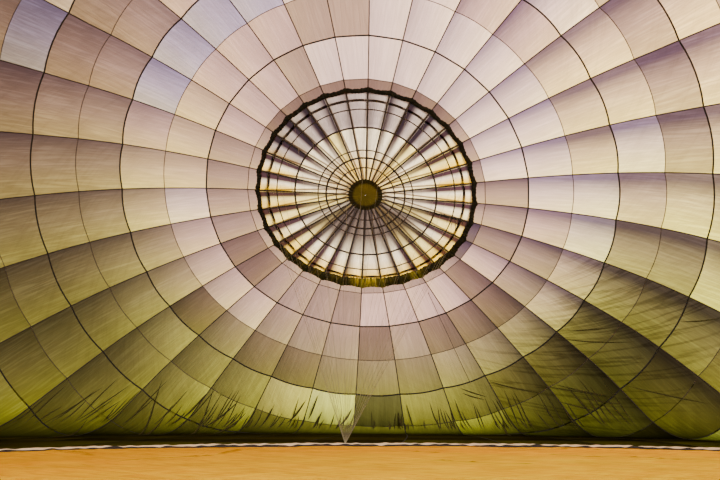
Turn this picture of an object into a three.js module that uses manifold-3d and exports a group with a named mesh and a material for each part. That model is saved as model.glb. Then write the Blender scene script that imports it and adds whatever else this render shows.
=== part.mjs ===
// Hot air balloon envelope lying on the ground while it is filled with cold air.
// Millimetres, +Z up. The mouth faces -Y, the crown faces +Y and up, the floor is z = 0.
// The envelope is 32 gores, each a 10 mm shell; a parachute valve closes the vent at the crown.
import * as THREE from 'three';
import * as BufferGeometryUtils from 'three/addons/utils/BufferGeometryUtils.js';
import Module from 'manifold-3d';

// driving dimensions (metres here, millimetres in the meshes)
const GORES = 32;
const SHELL = 0.010;            // thickness of the fabric shell
const R_MAX = 16.5;             // largest radius of the filled envelope
const R_VENT = 3.60;            // edge of the vent hole
const R_FIRST_SEAM = 4.29;      // first ring seam round the vent, where gore length is 0
const R_MOUTH = 4.4;
const AXIS_END = 35.0;          // length of the centre line from the first seam to the mouth
const PANEL = 1.5;              // height of a panel between two ring seams
const LONG_PANEL = 2.6;         // distance of the ring seams past the widest part
const SEAMS_END = 15.1;         // gore length where the short panels end
const LONG_START = 17.5;
const CROWN_TILT = 34;          // degrees the crown's axis rises above the ground
const CROWN_Y = 15.420;         // centre of the first ring seam
const CROWN_Z = 8.48;
const STRAIGHT = 1.5;           // straight start of the centre line below the crown
const BEND = 2.4;               // how soon the centre line levels out
const LOWER_LIFT = 0.09;        // how much the lower half is pulled up by its slack
const FLOOR_BLEND = 0.9;        // half height over which the wall rolls into the floor
const FLOOR_SLIDE = 0.5;        // slack cloth below the floor slides toward the mouth
const FLOOR_NEAR = 0.1;         // a gore this low all the way to the mouth lies on the floor
const LOBE = 0.006;             // outward bulge of each gore between its load tapes
const LOBE_START = 3;           // gore length over which the bulge grows to its full size
const MITRE_LIMIT = 0.75;       // sharp folds thicken the shell no more than this allows
const SEAM_GAP = 0.00025;       // half the gap between neighbouring gores
const SEAT = 0.0006;            // gap between pieces sewn on each other
const LAID_GAP = 0.0004;        // gap under and beside what lies on the floor
const HEM_LENGTH = 1.2;         // heat resistant band round the mouth
const TAB = { wide: 0.08, out: 0.16, thick: 0.006, shift: 0.0005 };   // load tape ends
const TAB_FLAT = 0.15;          // tape ends lower than this lie flat on the floor
const PARACHUTE_R = 3.95;
const PARACHUTE_DROP = 0.060;   // parachute's edge below the envelope's outer face
const PARACHUTE_RISE = 0.17;    // height of its dome
const DOME_POWER = 0.9;
const SECTOR_BULGE = 0.008;     // outward bulge of each sector at its edge
const PATCH_R = 0.53;           // centre patch of the parachute
const PATCH_INSET = 0.005;
const PATCH_THICK = 0.006;
const BAND_WIDTH = 0.30;        // dark band round the parachute's edge
const BAND_THICK = 0.014;
const BAND_INSET = 0.002;
const CROWN_RING_R = 0.20;
const CROWN_RING_TUBE = 0.032;
const CROWN_RING_EASE = 0.006;  // eased edges of the ring's section
const HUB_R = 0.27;             // outer radius of the tapes' loop round the crown ring
const HUB_SPREAD = 0.28;        // share of a sector that a tape may take at the loop
const ROUND_R = 0.5;            // inside this radius the vent's frame is truly round
const VENT_RIM = 0.10;          // width of the vent's rim tape
const RIM_GAP = 0.0012;         // the rim tape lies this far inside the vent's edge
const VENT_TAPE = 0.05;         // width of the tapes across the vent
const VENT_RISE = 0.30;         // height of the crown ring above the vent's edge
const PAD_HALF = 0.02;          // half width of the pads the parachute rests against
const PAD_INSET = 0.02;         // the pads keep this far from the rim tape's edges
const PAD_SUNK = 0.9;           // share of the rim tape's thickness that a pad is sunk in
const COLLECTOR = { x: 0.037, y: 10.590, r: 0.09, tube: 0.012 };      // ring where the lines meet
const CLOTH = { left: 10.0, right: 12.0, near: -17.0, thick: 0.006, hem: 0.09, hem_thick: 0.016 };
const CLOTH_ARC = { x: 3.2, y: -6.010, r: 16.0 };                     // far edge of the ground cloth
const CLOTH_SHARE = 0.84;       // share of the flat floor's half width that the cloth covers
const CLOTH_EDGE = 0.3;         // and the strip it leaves free besides

const MM = 1000;
const rad = THREE.MathUtils.degToRad;
const STEP = 2 * Math.PI / GORES;
const FIRST_TAPE = STEP / 2;    // a gore's middle lies straight up and straight down
const UP = new THREE.Vector3(0, 0, 1);

// the filled envelope's profile: gore length m, distance s along the axis, radius r
const NATURAL_STEP = 0.01;
const TAIL_STEPS = 2000;
const WIDEST = 0.999;
const VENT_MARGIN = 0.3;
function profileRows() {
  const rows = [];
  let [m, s, r] = [0, 0, R_FIRST_SEAM];
  while (r > R_VENT - VENT_MARGIN) {
    const k = (r / R_MAX) ** 2;
    m -= NATURAL_STEP;
    s -= NATURAL_STEP * k;
    r -= NATURAL_STEP * Math.sqrt(1 - k * k);
    rows.unshift([m, s, r]);
  }
  [m, s, r] = [0, 0, R_FIRST_SEAM];
  rows.push([m, s, r]);
  while ((r / R_MAX) ** 2 < WIDEST) {
    const k = (r / R_MAX) ** 2;
    m += NATURAL_STEP;
    s += NATURAL_STEP * k;
    r += NATURAL_STEP * Math.sqrt(1 - k * k);
    rows.push([m, s, r]);
  }
  // past the widest part the radius closes smoothly to the mouth's
  const [s1, r1] = [s, r];
  for (let i = 1; i <= TAIL_STEPS; i++) {
    const u = i / TAIL_STEPS;
    const a = s1 + (AXIS_END - s1) * u;
    const b = r1 - (r1 - R_MOUTH) * (3 * u * u - u ** 3) / 2;
    m += Math.hypot(a - s, b - r);
    [s, r] = [a, b];
    rows.push([m, s, r]);
  }
  return rows;
}
const profile = profileRows();
const GORE_END = profile[profile.length - 1][0];

// the centre line: distance s, its slope b, and its place y, z
const LINE_START = -0.5;
const LINE_STEP = 0.02;
function centreRows() {
  const rows = [];
  const tilt = rad(CROWN_TILT);
  const left = s => Math.max(0, 1 - (s - STRAIGHT) / (AXIS_END - STRAIGHT));
  const slope = s => (s < STRAIGHT ? tilt : tilt * left(s) ** BEND);
  rows.push([LINE_START, tilt, CROWN_Y - LINE_START * Math.cos(tilt), CROWN_Z - LINE_START * Math.sin(tilt)]);
  for (let s = LINE_START; s < AXIS_END; s += LINE_STEP) {
    const q = rows[rows.length - 1];
    const b = slope(s + LINE_STEP / 2);
    const next = s + LINE_STEP;
    rows.push([next, slope(next), q[2] - LINE_STEP * Math.cos(b), q[3] - LINE_STEP * Math.sin(b)]);
  }
  return rows;
}
const centre = centreRows();

// the row of a table at the value x of one of its columns
function lookup(rows, key, x) {
  let [a, b] = [0, rows.length - 1];
  if (x <= rows[a][key]) return rows[a];
  if (x >= rows[b][key]) return rows[b];
  while (b - a > 1) {
    const c = (a + b) >> 1;
    if (rows[c][key] <= x) a = c;
    else b = c;
  }
  const t = (x - rows[a][key]) / (rows[b][key] - rows[a][key]);
  return rows[a].map((v, i) => v + t * (rows[b][i] - v));
}

// outer face of the envelope at gore length m and angle phi (0 = +X, 90 degrees = up)
function skin(m, phi, lobe = 0) {
  const [, s, r0] = lookup(profile, 0, m);
  const [, b, cy, cz] = lookup(centre, 0, s);
  const r = r0 * (1 + lobe);
  const sn = Math.sin(phi);
  const v = sn + LOWER_LIFT * Math.min(0, sn) ** 2;
  const y = cy - r * v * Math.sin(b);
  const z = cz + r * v * Math.cos(b);
  const w = FLOOR_BLEND;
  let lift = (w - z) ** 2 / (4 * w);
  if (z > w) lift = 0;
  if (z < -w) lift = -z;
  return new THREE.Vector3(r * Math.cos(phi), y - FLOOR_SLIDE * lift, z + lift);
}

// a geometry from positions and triangles, its faces turned outward
function orient(pos, idx) {
  const point = i => new THREE.Vector3(pos[3 * i], pos[3 * i + 1], pos[3 * i + 2]);
  let volume = 0;
  for (let t = 0; t < idx.length; t += 3) {
    volume += point(idx[t]).dot(point(idx[t + 1]).cross(point(idx[t + 2])));
  }
  for (let t = 0; volume < 0 && t < idx.length; t += 3) {
    [idx[t], idx[t + 1]] = [idx[t + 1], idx[t]];
  }
  const g = new THREE.BufferGeometry();
  g.setAttribute('position', new THREE.Float32BufferAttribute(pos, 3));
  g.setIndex(idx);
  g.computeVertexNormals();
  return g;
}

// closed solid from an outer and an inner grid of points, metres in and millimetres out
function gridSolid(outer, inner, closed = false) {
  const nu = outer.length;
  const nv = outer[0].length;
  const last = closed ? nv : nv - 1;
  const pos = [outer, inner].flat(2).flatMap(p => [p.x * MM, p.y * MM, p.z * MM]);
  const idx = [];
  const id = (side, i, j) => side * nu * nv + i * nv + (closed ? j % nv : j);
  const quad = (a, b, c, d) => idx.push(a, b, c, a, c, d);
  for (let i = 0; i < nu - 1; i++) {
    for (let j = 0; j < last; j++) {
      const k = (j + 1) % nv;
      // both faces are split along the outer face's shorter diagonal
      if (outer[i][j].distanceTo(outer[i + 1][k]) <= outer[i][k].distanceTo(outer[i + 1][j])) {
        quad(id(0, i, j), id(0, i, j + 1), id(0, i + 1, j + 1), id(0, i + 1, j));
        quad(id(1, i, j), id(1, i + 1, j), id(1, i + 1, j + 1), id(1, i, j + 1));
      } else {
        quad(id(0, i, j + 1), id(0, i + 1, j + 1), id(0, i + 1, j), id(0, i, j));
        quad(id(1, i, j + 1), id(1, i, j), id(1, i + 1, j), id(1, i + 1, j + 1));
      }
    }
  }
  for (let j = 0; j < last; j++) {
    quad(id(0, 0, j), id(1, 0, j), id(1, 0, j + 1), id(0, 0, j + 1));
    quad(id(0, nu - 1, j), id(0, nu - 1, j + 1), id(1, nu - 1, j + 1), id(1, nu - 1, j));
  }
  for (let i = 0; !closed && i < nu - 1; i++) {
    // both sides use the same diagonal, from outer i to inner i + 1
    quad(id(0, i, 0), id(0, i + 1, 0), id(1, i + 1, 0), id(1, i, 0));
    const [e, f, g, h] = [id(0, i, nv - 1), id(0, i + 1, nv - 1), id(1, i + 1, nv - 1), id(1, i, nv - 1)];
    idx.push(e, g, f, e, h, g);
  }
  return orient(pos, idx);
}

// joining closed meshes
const MERGE = 1e-3;
const wasm = await Module();
wasm.setup();
function merged(geometry) {
  const g = geometry.clone();
  g.deleteAttribute('normal');
  g.deleteAttribute('uv');
  return BufferGeometryUtils.mergeVertices(g, MERGE);
}
function toSolid(geometry) {
  const g = merged(geometry);
  return new wasm.Manifold(new wasm.Mesh({
    numProp: 3,
    vertProperties: new Float32Array(g.attributes.position.array),
    triVerts: new Uint32Array(g.index.array),
  }));
}
function toGeometry(solid) {
  const mesh = solid.getMesh();
  const g = new THREE.BufferGeometry();
  g.setAttribute('position', new THREE.Float32BufferAttribute(Array.from(mesh.vertProperties), 3));
  g.setIndex(Array.from(mesh.triVerts));
  g.computeVertexNormals();
  return g;
}

// finishes: colour, roughness and metalness
const FINISH = {
  silver: [0xb9afb6, 0.55, 0], beige: [0xb3a37f, 0.55, 0], parachute: [0xcdc4b2, 0.55, 0],
  hem: [0x24281c, 0.8, 0], band: [0x24281c, 0.7, 0], olive: [0x4b4a14, 0.8, 0], tape: [0x1d1c1a, 0.8, 0],
  metal: [0x9a9c9e, 0.35, 1], cloth: [0xe2a21a, 0.75, 0], cloth_hem: [0xe6dfc6, 0.8, 0],
};
const group = new THREE.Group();
function add(name, geometry, [color, roughness, metalness], parent = group) {
  const mesh = new THREE.Mesh(geometry, new THREE.MeshStandardMaterial({ color, roughness, metalness }));
  mesh.name = name;
  parent.add(mesh);
  return mesh;
}

// rows of the grid: the vent's edge, the ring seams, and both edges of the mouth's hem
const HALVINGS = 40;
function ventEdge() {
  let [a, b] = [-1, 0];
  for (let i = 0; i < HALVINGS; i++) {
    const c = (a + b) / 2;
    if (lookup(profile, 0, c)[2] < R_VENT) a = c;
    else b = c;
  }
  return b;
}
const VENT_M = ventEdge();
const HEM_M = GORE_END - HEM_LENGTH;
const stations = [VENT_M, 0];
for (let m = PANEL; m < SEAMS_END; m += PANEL) stations.push(m);
for (let m = LONG_START; m < HEM_M - HEM_LENGTH; m += LONG_PANEL) stations.push(m);
const HEM_ROW = stations.length;
stations.push(HEM_M, GORE_END);

// the whole skin as one faceted grid: rows along the gores, two columns to a gore
const COLS = 2 * GORES;
const bulge = (m, j) => (j % 2 ? LOBE * THREE.MathUtils.clamp(m / LOBE_START, 0, 1) : 0);
const turn = j => FIRST_TAPE + j * STEP / 2;
const grid = stations.map(m => Array.from({ length: COLS }, (_, j) => skin(m, turn(j), bulge(m, j))));
const cell = (i, j) => grid[i][(j + COLS) % COLS];

// at each grid point: the direction along the gore, the inward offset of one shell, and the
// direction across the seam
function pointFrame(i, j) {
  const up = Math.min(i + 1, grid.length - 1);
  const down = Math.max(i - 1, 0);
  const along = cell(up, j).clone().sub(cell(down, j)).normalize();
  const faces = [];
  for (const a of [i - 1, i]) {
    for (const b of [j - 1, j]) {
      if (a < 0 || a + 1 >= grid.length) continue;
      const rising = cell(a + 1, b + 1).clone().sub(cell(a, b));
      const falling = cell(a, b + 1).clone().sub(cell(a + 1, b));
      faces.push(rising.cross(falling).normalize());
    }
  }
  const normal = faces.reduce((sum, n) => sum.add(n), new THREE.Vector3()).normalize();
  const spread = Math.min(...faces.map(n => n.dot(normal)));
  const offset = normal.clone().multiplyScalar(SHELL / Math.max(MITRE_LIMIT, spread));
  const across = new THREE.Vector3().crossVectors(along, normal).normalize();
  // across runs toward the next column
  if (across.dot(cell(i, j + 1).clone().sub(cell(i, j - 1))) < 0) across.negate();
  return { along, normal, offset, across };
}
const frames = grid.map((row, i) => row.map((_, j) => pointFrame(i, j)));
// the gore straight above faces down on its inside
const TOP_COLUMN = COLS / 4 - 1;
const TOP_ROW = 6;
if (frames[TOP_ROW][TOP_COLUMN].normal.z > 0) {
  for (const f of frames.flat()) {
    f.normal.negate();
    f.offset.negate();
  }
}

// a gore between two rows of the grid, a seam's half gap short of its neighbours and cut rows
function goreSolid(g, first, last) {
  const outer = [];
  const inner = [];
  // columns across the gore: grid column, sideways shift off the seam
  const columns = [[2 * g, 1], [2 * g + 1, 0], [(2 * g + 2) % COLS, -1]];
  for (let i = first; i <= last; i++) {
    const outerRow = columns.map(([j, shift]) => {
      const p = grid[i][j].clone().addScaledVector(frames[i][j].across, shift * SEAM_GAP);
      if (i === last) p.addScaledVector(frames[i][j].along, -SEAM_GAP);
      if (i === first && first > 0) p.addScaledVector(frames[i][j].along, SEAM_GAP);
      p.z = Math.max(p.z, 0);
      return p;
    });
    outer.push(outerRow);
    inner.push(outerRow.map((p, c) => p.clone().add(frames[i][columns[c][0]].offset)));
  }
  return gridSolid(outer, inner);
}

// a gore that lies on the floor as far as the mouth is split at its first ring seam there
const LYING = 0.001;
const height = (g, i) => Math.max(...[0, 1, 2].map(c => grid[i][(2 * g + c) % COLS].z));
for (let g = 0; g < GORES; g++) {
  const name = `gore_${String(g + 1).padStart(2, '0')}`;
  const finish = g % 2 ? FINISH.beige : FINISH.silver;
  const down = stations.findIndex((_, i) => height(g, i) < LYING);
  const rest = stations.slice(down, HEM_ROW + 1);
  const lies = down > 0 && rest.every((_, k) => height(g, down + k) < FLOOR_NEAR);
  add(name, goreSolid(g, 0, lies ? down : HEM_ROW), finish);
  if (lies) add(`${name}_floor`, goreSolid(g, down, HEM_ROW), finish);
}

// mouth hem: one closed band with the 32 load tape ends standing out of it
function tapeEnd(k) {
  const f = frames[HEM_ROW + 1][2 * k];
  const end = grid[HEM_ROW + 1][2 * k];
  const along = f.along.clone();
  const inward = f.normal.clone();
  if (end.z < TAB_FLAT) {
    along.setZ(0).normalize();
    inward.copy(UP);
  }
  inward.addScaledVector(along, -inward.dot(along)).normalize();
  const across = new THREE.Vector3().crossVectors(along, inward).normalize();
  const at = end.clone().addScaledVector(inward, SHELL / 2 + TAB.shift).multiplyScalar(MM);
  const box = new THREE.BoxGeometry(TAB.wide * MM, 2 * TAB.out * MM, TAB.thick * MM);
  box.applyMatrix4(new THREE.Matrix4().makeBasis(across, along, inward));
  box.translate(at.x, at.y, at.z);
  return box;
}
function hemBand() {
  const outer = [HEM_ROW, HEM_ROW + 1].map(i => grid[i].map((q, j) => {
    const p = q.clone();
    if (i === HEM_ROW) p.addScaledVector(frames[i][j].along, SEAM_GAP);
    p.z = Math.max(p.z, 0);
    return p;
  }));
  const inner = outer.map((row, i) => row.map((p, j) => p.clone().add(frames[HEM_ROW + i][j].offset)));
  return gridSolid(outer, inner, true);
}
let hem = toSolid(hemBand());
for (let k = 0; k < GORES; k++) hem = hem.add(toSolid(tapeEnd(k)));
add('mouth_hem', toGeometry(hem), FINISH.hem);

// crown group: its +Z is the crown's axis, outward; its origin is the vent's centre
const ventRow = lookup(profile, 0, VENT_M);
const ventCentre = lookup(centre, 0, ventRow[1]);
const crown = new THREE.Group();
crown.position.set(0, ventCentre[2] * MM, ventCentre[3] * MM);
crown.rotation.set(-rad(90 - CROWN_TILT), 0, 0);
group.add(crown);

// a point of the crown group: the lower half is pulled in by the slack, as the vent's edge is
function at(r, phi, z) {
  const sn = Math.sin(phi);
  const up = sn + LOWER_LIFT * Math.min(0, sn) ** 2;
  return new THREE.Vector3(r * Math.cos(phi), -r * up, z);
}

// the parachute's outer face: rings of the dome, straight between them, so that what lies on it
// follows it exactly
const RADII = [0.02, PATCH_R, 1.55, 2.77, 3.48, PARACHUTE_R - BAND_WIDTH, PARACHUTE_R];
const rise = r => -PARACHUTE_DROP + PARACHUTE_RISE * (1 - (r / PARACHUTE_R)) ** DOME_POWER;
function dome(r) {
  let i = 0;
  while (i < RADII.length - 2 && r > RADII[i + 1]) i++;
  const [a, b] = [RADII[i], RADII[i + 1]];
  return rise(a) + (rise(b) - rise(a)) * (r - a) / (b - a);
}

// vent frame: rim tape, 32 straight tapes across the vent and their loop round the crown ring
const RIM_OUT = R_VENT - RIM_GAP;
const RIM_IN = R_VENT - VENT_RIM;
const HUB_IN = (CROWN_RING_R + SEAT) / Math.cos(STEP / 2);
const frameHeight = r => VENT_RISE * (RIM_IN - Math.min(r, RIM_IN)) / (RIM_IN - HUB_IN);
function ventFrame() {
  const pos = [];
  const idx = [];
  const n = GORES;
  const corner = (r, phi, z) => {
    const p = r < ROUND_R ? new THREE.Vector3(r * Math.cos(phi), -r * Math.sin(phi), z) : at(r, phi, z);
    pos.push(p.x * MM, p.y * MM, p.z * MM);
    return pos.length / 3 - 1;
  };
  // the corners of one opening: o rim's edge, a and b at the rim, c and d at the hub, i hub's edge
  const [o, a, b, c, d, i] = [[], [], [], [], [], []];
  const atRim = VENT_TAPE / 2 / RIM_IN;
  const atHub = Math.min(VENT_TAPE / 2 / HUB_R, STEP * HUB_SPREAD);
  for (const z of [0, -SHELL]) {
    for (let k = 0; k < n; k++) {
      const phi = FIRST_TAPE + k * STEP;
      o.push(corner(RIM_OUT, phi, z));
      a.push(corner(RIM_IN, phi + atRim, z));
      b.push(corner(RIM_IN, phi + STEP - atRim, z));
      c.push(corner(HUB_R, phi + atHub, z + frameHeight(HUB_R)));
      d.push(corner(HUB_R, phi + STEP - atHub, z + frameHeight(HUB_R)));
      i.push(corner(HUB_IN, phi, z + frameHeight(HUB_IN)));
    }
  }
  const quad = (p, q, r, s) => idx.push(p, q, r, p, r, s);
  for (let k = 0; k < n; k++) {
    const next = (k + 1) % n;
    const prev = (k + n - 1) % n;
    for (const side of [0, n]) {
      const face = (p, q, r) => (side ? idx.push(p, r, q) : idx.push(p, q, r));
      // rim between two tapes, then the tape itself, then the hub
      face(o[side + k], o[side + next], b[side + k]);
      face(o[side + k], b[side + k], a[side + k]);
      face(o[side + k], a[side + k], b[side + prev]);
      face(a[side + k], c[side + k], d[side + prev]);
      face(a[side + k], d[side + prev], b[side + prev]);
      face(c[side + k], i[side + k], d[side + prev]);
      face(c[side + k], d[side + k], i[side + next]);
      face(c[side + k], i[side + next], i[side + k]);
    }
    quad(o[k], o[n + k], o[n + next], o[next]);
    quad(i[k], i[next], i[n + next], i[n + k]);
    quad(a[k], b[k], b[n + k], a[n + k]);
    quad(b[k], d[k], d[n + k], b[n + k]);
    quad(d[k], c[k], c[n + k], d[n + k]);
    quad(c[k], a[k], a[n + k], c[n + k]);
  }
  return orient(pos, idx);
}

// seat pads under the rim, one at each tape: the closed parachute rests against them
function seatPad(k) {
  const radii = [RIM_IN + PAD_INSET, RIM_OUT - PAD_INSET];
  const angles = [-1, 1].map(side => FIRST_TAPE + k * STEP + side * PAD_HALF / RIM_OUT);
  const top = radii.map(r => angles.map(phi => at(r, phi, -SHELL * PAD_SUNK)));
  const bottom = radii.map(r => angles.map(phi => at(r, phi, dome(r) + 2 * SEAT)));
  return gridSolid(top, bottom);
}
let ventTapes = toSolid(ventFrame());
for (let k = 0; k < GORES; k++) ventTapes = ventTapes.add(toSolid(seatPad(k)));
add('vent_tapes', toGeometry(ventTapes), FINISH.tape, crown);

// crown ring: a rolled metal ring, square in section with eased edges
function ringSection(radius, half, ease) {
  const corners = [
    [-half, -half + ease], [-half + ease, -half], [half - ease, -half], [half, -half + ease],
    [half, half - ease], [half - ease, half], [-half + ease, half], [-half, half - ease],
    [-half, -half + ease],
  ];
  return corners.map(([x, y]) => new THREE.Vector2((radius + x) * MM, y * MM));
}
const CROWN_SECTION = ringSection(CROWN_RING_R - CROWN_RING_TUBE / 2, CROWN_RING_TUBE / 2, CROWN_RING_EASE);
const crownRing = merged(new THREE.LatheGeometry(CROWN_SECTION, GORES).rotateX(Math.PI / 2));
crownRing.computeVertexNormals();
add('crown_ring', crownRing, FINISH.metal, crown).position.set(0, 0, (VENT_RISE - SHELL / 2) * MM);

// parachute valve: a shallow dome inside the vent, with its centre patch and edge band
const valve = new THREE.Group();
crown.add(valve);
// closed disc of rings at the given radii, its upper face at top(r, column), closed in the middle
function discSolid(radii, top, thick) {
  const pos = [];
  const idx = [];
  const put = p => pos.push(p.x * MM, p.y * MM, p.z * MM);
  for (const below of [0, thick]) {
    for (const r of radii) {
      for (let j = 0; j < COLS; j++) put(at(r, turn(j), top(r, j) - below));
    }
  }
  const id = (side, i, j) => (side * radii.length + i) * COLS + j % COLS;
  const quad = (a, b, c, d) => idx.push(a, b, c, a, c, d);
  const edge = radii.length - 1;
  const middle = pos.length / 3;
  put(new THREE.Vector3(0, 0, top(radii[0], 0)));
  put(new THREE.Vector3(0, 0, top(radii[0], 0) - thick));
  for (let j = 0; j < COLS; j++) {
    for (let i = 0; i < edge; i++) {
      quad(id(0, i, j), id(0, i + 1, j), id(0, i + 1, j + 1), id(0, i, j + 1));
      quad(id(1, i, j), id(1, i, j + 1), id(1, i + 1, j + 1), id(1, i + 1, j));
    }
    quad(id(0, edge, j), id(1, edge, j), id(1, edge, j + 1), id(0, edge, j + 1));
    idx.push(middle, id(0, 0, j), id(0, 0, j + 1));
    idx.push(middle + 1, id(1, 0, j + 1), id(1, 0, j));
  }
  return orient(pos, idx);
}
// between its tapes each sector bulges a little outward
const panelTop = (r, j) => dome(r) + (j % 2 ? SECTOR_BULGE * (r / PARACHUTE_R) : 0);
const underPanel = (r, j) => panelTop(r, j) - SHELL - SEAT;
add('parachute_panel', discSolid(RADII, panelTop, SHELL), FINISH.parachute, valve);
const PATCH_RADII = [RADII[0], PATCH_R - PATCH_INSET];
add('parachute_centre_patch', discSolid(PATCH_RADII, underPanel, PATCH_THICK), FINISH.olive, valve);
// dark band on the inner face of the parachute's edge
const BAND_RADII = [PARACHUTE_R - BAND_WIDTH, PARACHUTE_R - BAND_INSET];
const columns = Array.from({ length: COLS }, (_, j) => j);
const bandTop = BAND_RADII.map(r => columns.map(j => at(r, turn(j), underPanel(r, j))));
const bandBottom = BAND_RADII.map(r => columns.map(j => at(r, turn(j), underPanel(r, j) - BAND_THICK)));
add('parachute_edge_band', gridSolid(bandTop, bandBottom, true), FINISH.band, valve);

// ring on the floor where the parachute's lines meet, eight-sided in section
const SIDES = 8;
const RING_STEPS = 24;
const floorTop = (SHELL + LAID_GAP) * MM;
const lineSection = [];
for (let i = 0; i <= SIDES; i++) {
  const a = (1 + 2 * i) * Math.PI / SIDES;
  const x = COLLECTOR.r + COLLECTOR.tube * Math.cos(a);
  lineSection.push(new THREE.Vector2(x * MM, COLLECTOR.tube * MM * Math.sin(a)));
}
const lineRing = merged(new THREE.LatheGeometry(lineSection, RING_STEPS));
lineRing.rotateX(Math.PI / 2);
lineRing.computeVertexNormals();
const ringHeight = floorTop + COLLECTOR.tube * MM * Math.cos(Math.PI / SIDES);
add('line_ring', lineRing, FINISH.metal).position.set(COLLECTOR.x * MM, COLLECTOR.y * MM, ringHeight);

// ground cloth on the envelope's floor: far edge an arc, sides inside the flat floor
const SIDE_STEPS = 8;
const ARC_STEPS = 14;
const SCAN = { from: 4, margin: 0.3, step: 0.25, turn: 1.5, reach: 0.35, flat: 1e-6 };
// half width of the floor at y: where the wall starts to roll up
function floorHalf(y) {
  let best = 0;
  for (let m = SCAN.from; m < GORE_END - SCAN.margin; m += SCAN.step) {
    for (let a = 0; a <= 90; a += SCAN.turn) {
      const p = skin(m, rad(-a));
      if (p.z < SCAN.flat && Math.abs(p.y - y) < SCAN.reach) best = Math.max(best, p.x);
    }
  }
  return best;
}
const arcY = x => CLOTH_ARC.y + Math.sqrt(CLOTH_ARC.r ** 2 - (x - CLOTH_ARC.x) ** 2);
function clothSide(xEnd) {
  const reach = Math.abs(xEnd);
  const far = arcY(xEnd);
  const rows = [];
  for (let i = 0; i < SIDE_STEPS; i++) {
    const y = CLOTH.near + (far - CLOTH.near) * i / SIDE_STEPS;
    const half = Math.min(reach, floorHalf(y) * CLOTH_SHARE - CLOTH_EDGE);
    rows.push([Math.sign(xEnd) * half, y]);
  }
  rows.push([xEnd, far]);
  return rows;
}
const rightSide = clothSide(CLOTH.right);
const leftSide = clothSide(-CLOTH.left).reverse();
const farEdge = [];
for (let i = 1; i < ARC_STEPS; i++) {
  const x = CLOTH.right - (CLOTH.right + CLOTH.left) * i / ARC_STEPS;
  farEdge.push([x, arcY(x)]);
}
function laidFlat(outline, thick) {
  const shape = new THREE.Shape(outline.map(([x, y]) => new THREE.Vector2(x * MM, y * MM)));
  const g = new THREE.ExtrudeGeometry(shape, { depth: thick * MM, bevelEnabled: false });
  g.translate(0, 0, floorTop);
  return toGeometry(toSolid(g));
}
add('floor_cloth', laidFlat([...rightSide, ...farEdge, ...leftSide], CLOTH.thick), FINISH.cloth);
// its hem: a strip just outside the far edge
const farPoints = [rightSide[rightSide.length - 1], ...farEdge, leftSide[0]];
const hemInner = farPoints.map(([x, y]) => [x, y + LAID_GAP]);
const hemOuter = hemInner.map(([x, y]) => [x, y + CLOTH.hem]).reverse();
add('floor_cloth_hem', laidFlat([...hemInner, ...hemOuter], CLOTH.hem_thick), FINISH.cloth_hem);

export default group;
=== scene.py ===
"""A hot air balloon's envelope, lying on the ground and filled with cold air, seen from inside."""
import math
import random

import bpy
import numpy as np
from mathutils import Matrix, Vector


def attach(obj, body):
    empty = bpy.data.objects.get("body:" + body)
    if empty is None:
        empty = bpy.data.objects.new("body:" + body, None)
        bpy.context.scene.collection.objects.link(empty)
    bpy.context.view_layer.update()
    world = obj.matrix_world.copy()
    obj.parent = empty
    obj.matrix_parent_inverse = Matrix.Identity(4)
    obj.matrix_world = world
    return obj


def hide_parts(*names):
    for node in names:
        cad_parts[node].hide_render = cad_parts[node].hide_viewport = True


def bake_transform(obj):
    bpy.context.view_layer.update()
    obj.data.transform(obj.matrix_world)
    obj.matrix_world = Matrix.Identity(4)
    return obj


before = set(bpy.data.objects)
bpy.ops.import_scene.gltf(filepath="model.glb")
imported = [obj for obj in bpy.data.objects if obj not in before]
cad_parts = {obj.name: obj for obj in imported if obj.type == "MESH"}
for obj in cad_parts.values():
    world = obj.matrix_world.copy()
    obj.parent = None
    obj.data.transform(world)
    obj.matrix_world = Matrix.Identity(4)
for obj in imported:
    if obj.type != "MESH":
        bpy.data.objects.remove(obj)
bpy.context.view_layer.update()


# Camera
# It stands inside the envelope near the mouth, 1.31 m above the ground, and looks up at the
# parachute valve in the crown.
EYE = (4.019, -15.69, 1.31)
TURNED, TILTED = 7.69, 10.1
LENS, FARTHEST = 44.8, 500


def in_scene(name, data, *materials):
    """A new object at the origin that shows the data, in the materials."""
    for each in materials:
        data.materials.append(each)
    made = bpy.data.objects.new(name, data)
    bpy.context.collection.objects.link(made)
    return made


camera = in_scene("camera", bpy.data.cameras.new("camera"))
camera.data.lens = LENS
camera.data.clip_end = FARTHEST
camera.location = EYE
camera.rotation_euler = (math.radians(90 + TILTED), 0, math.radians(TURNED))
bpy.context.scene.camera = camera


# Studio
# A pale floor, an even pale sky, one broad soft sun from the right, high behind the crown, and a
# soft panel outside the mouth. Most light inside comes through the cloth.
SKY, SKY_STRENGTH = (0.96, 0.96, 1.0), 1.3
SUN_STRENGTH, SUN_SOFT = 14.5, 35
SUN_FROM = Vector((0.85, 0.25, 0.50))
SOFT_PANEL, SOFT_PANEL_POWER = 7.0, 12000
SOFT_PANEL_AT, SOFT_PANEL_TOWARD = Vector((0.0, -27.0, 6.0)), Vector((1.0, 2.0, 0.0))
FLOOR_HALF = 150
FLOOR_PAINT, FLOOR_MOTTLE = (0.72, 0.71, 0.69), (0.9, 0.9, 0.9)

world = bpy.data.worlds.new("studio")
bpy.context.scene.world = world
world.use_nodes = True
sky = world.node_tree.nodes["Background"]
sky.inputs["Color"].default_value = (*SKY, 1)
sky.inputs["Strength"].default_value = SKY_STRENGTH


def light(name, kind, power, comes_from):
    """A new light whose rays come from the given direction."""
    data = bpy.data.lights.new(name, kind)
    data.energy = power
    made = in_scene(name, data)
    made.rotation_euler = comes_from.to_track_quat("Z", "Y").to_euler()
    return made


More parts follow.
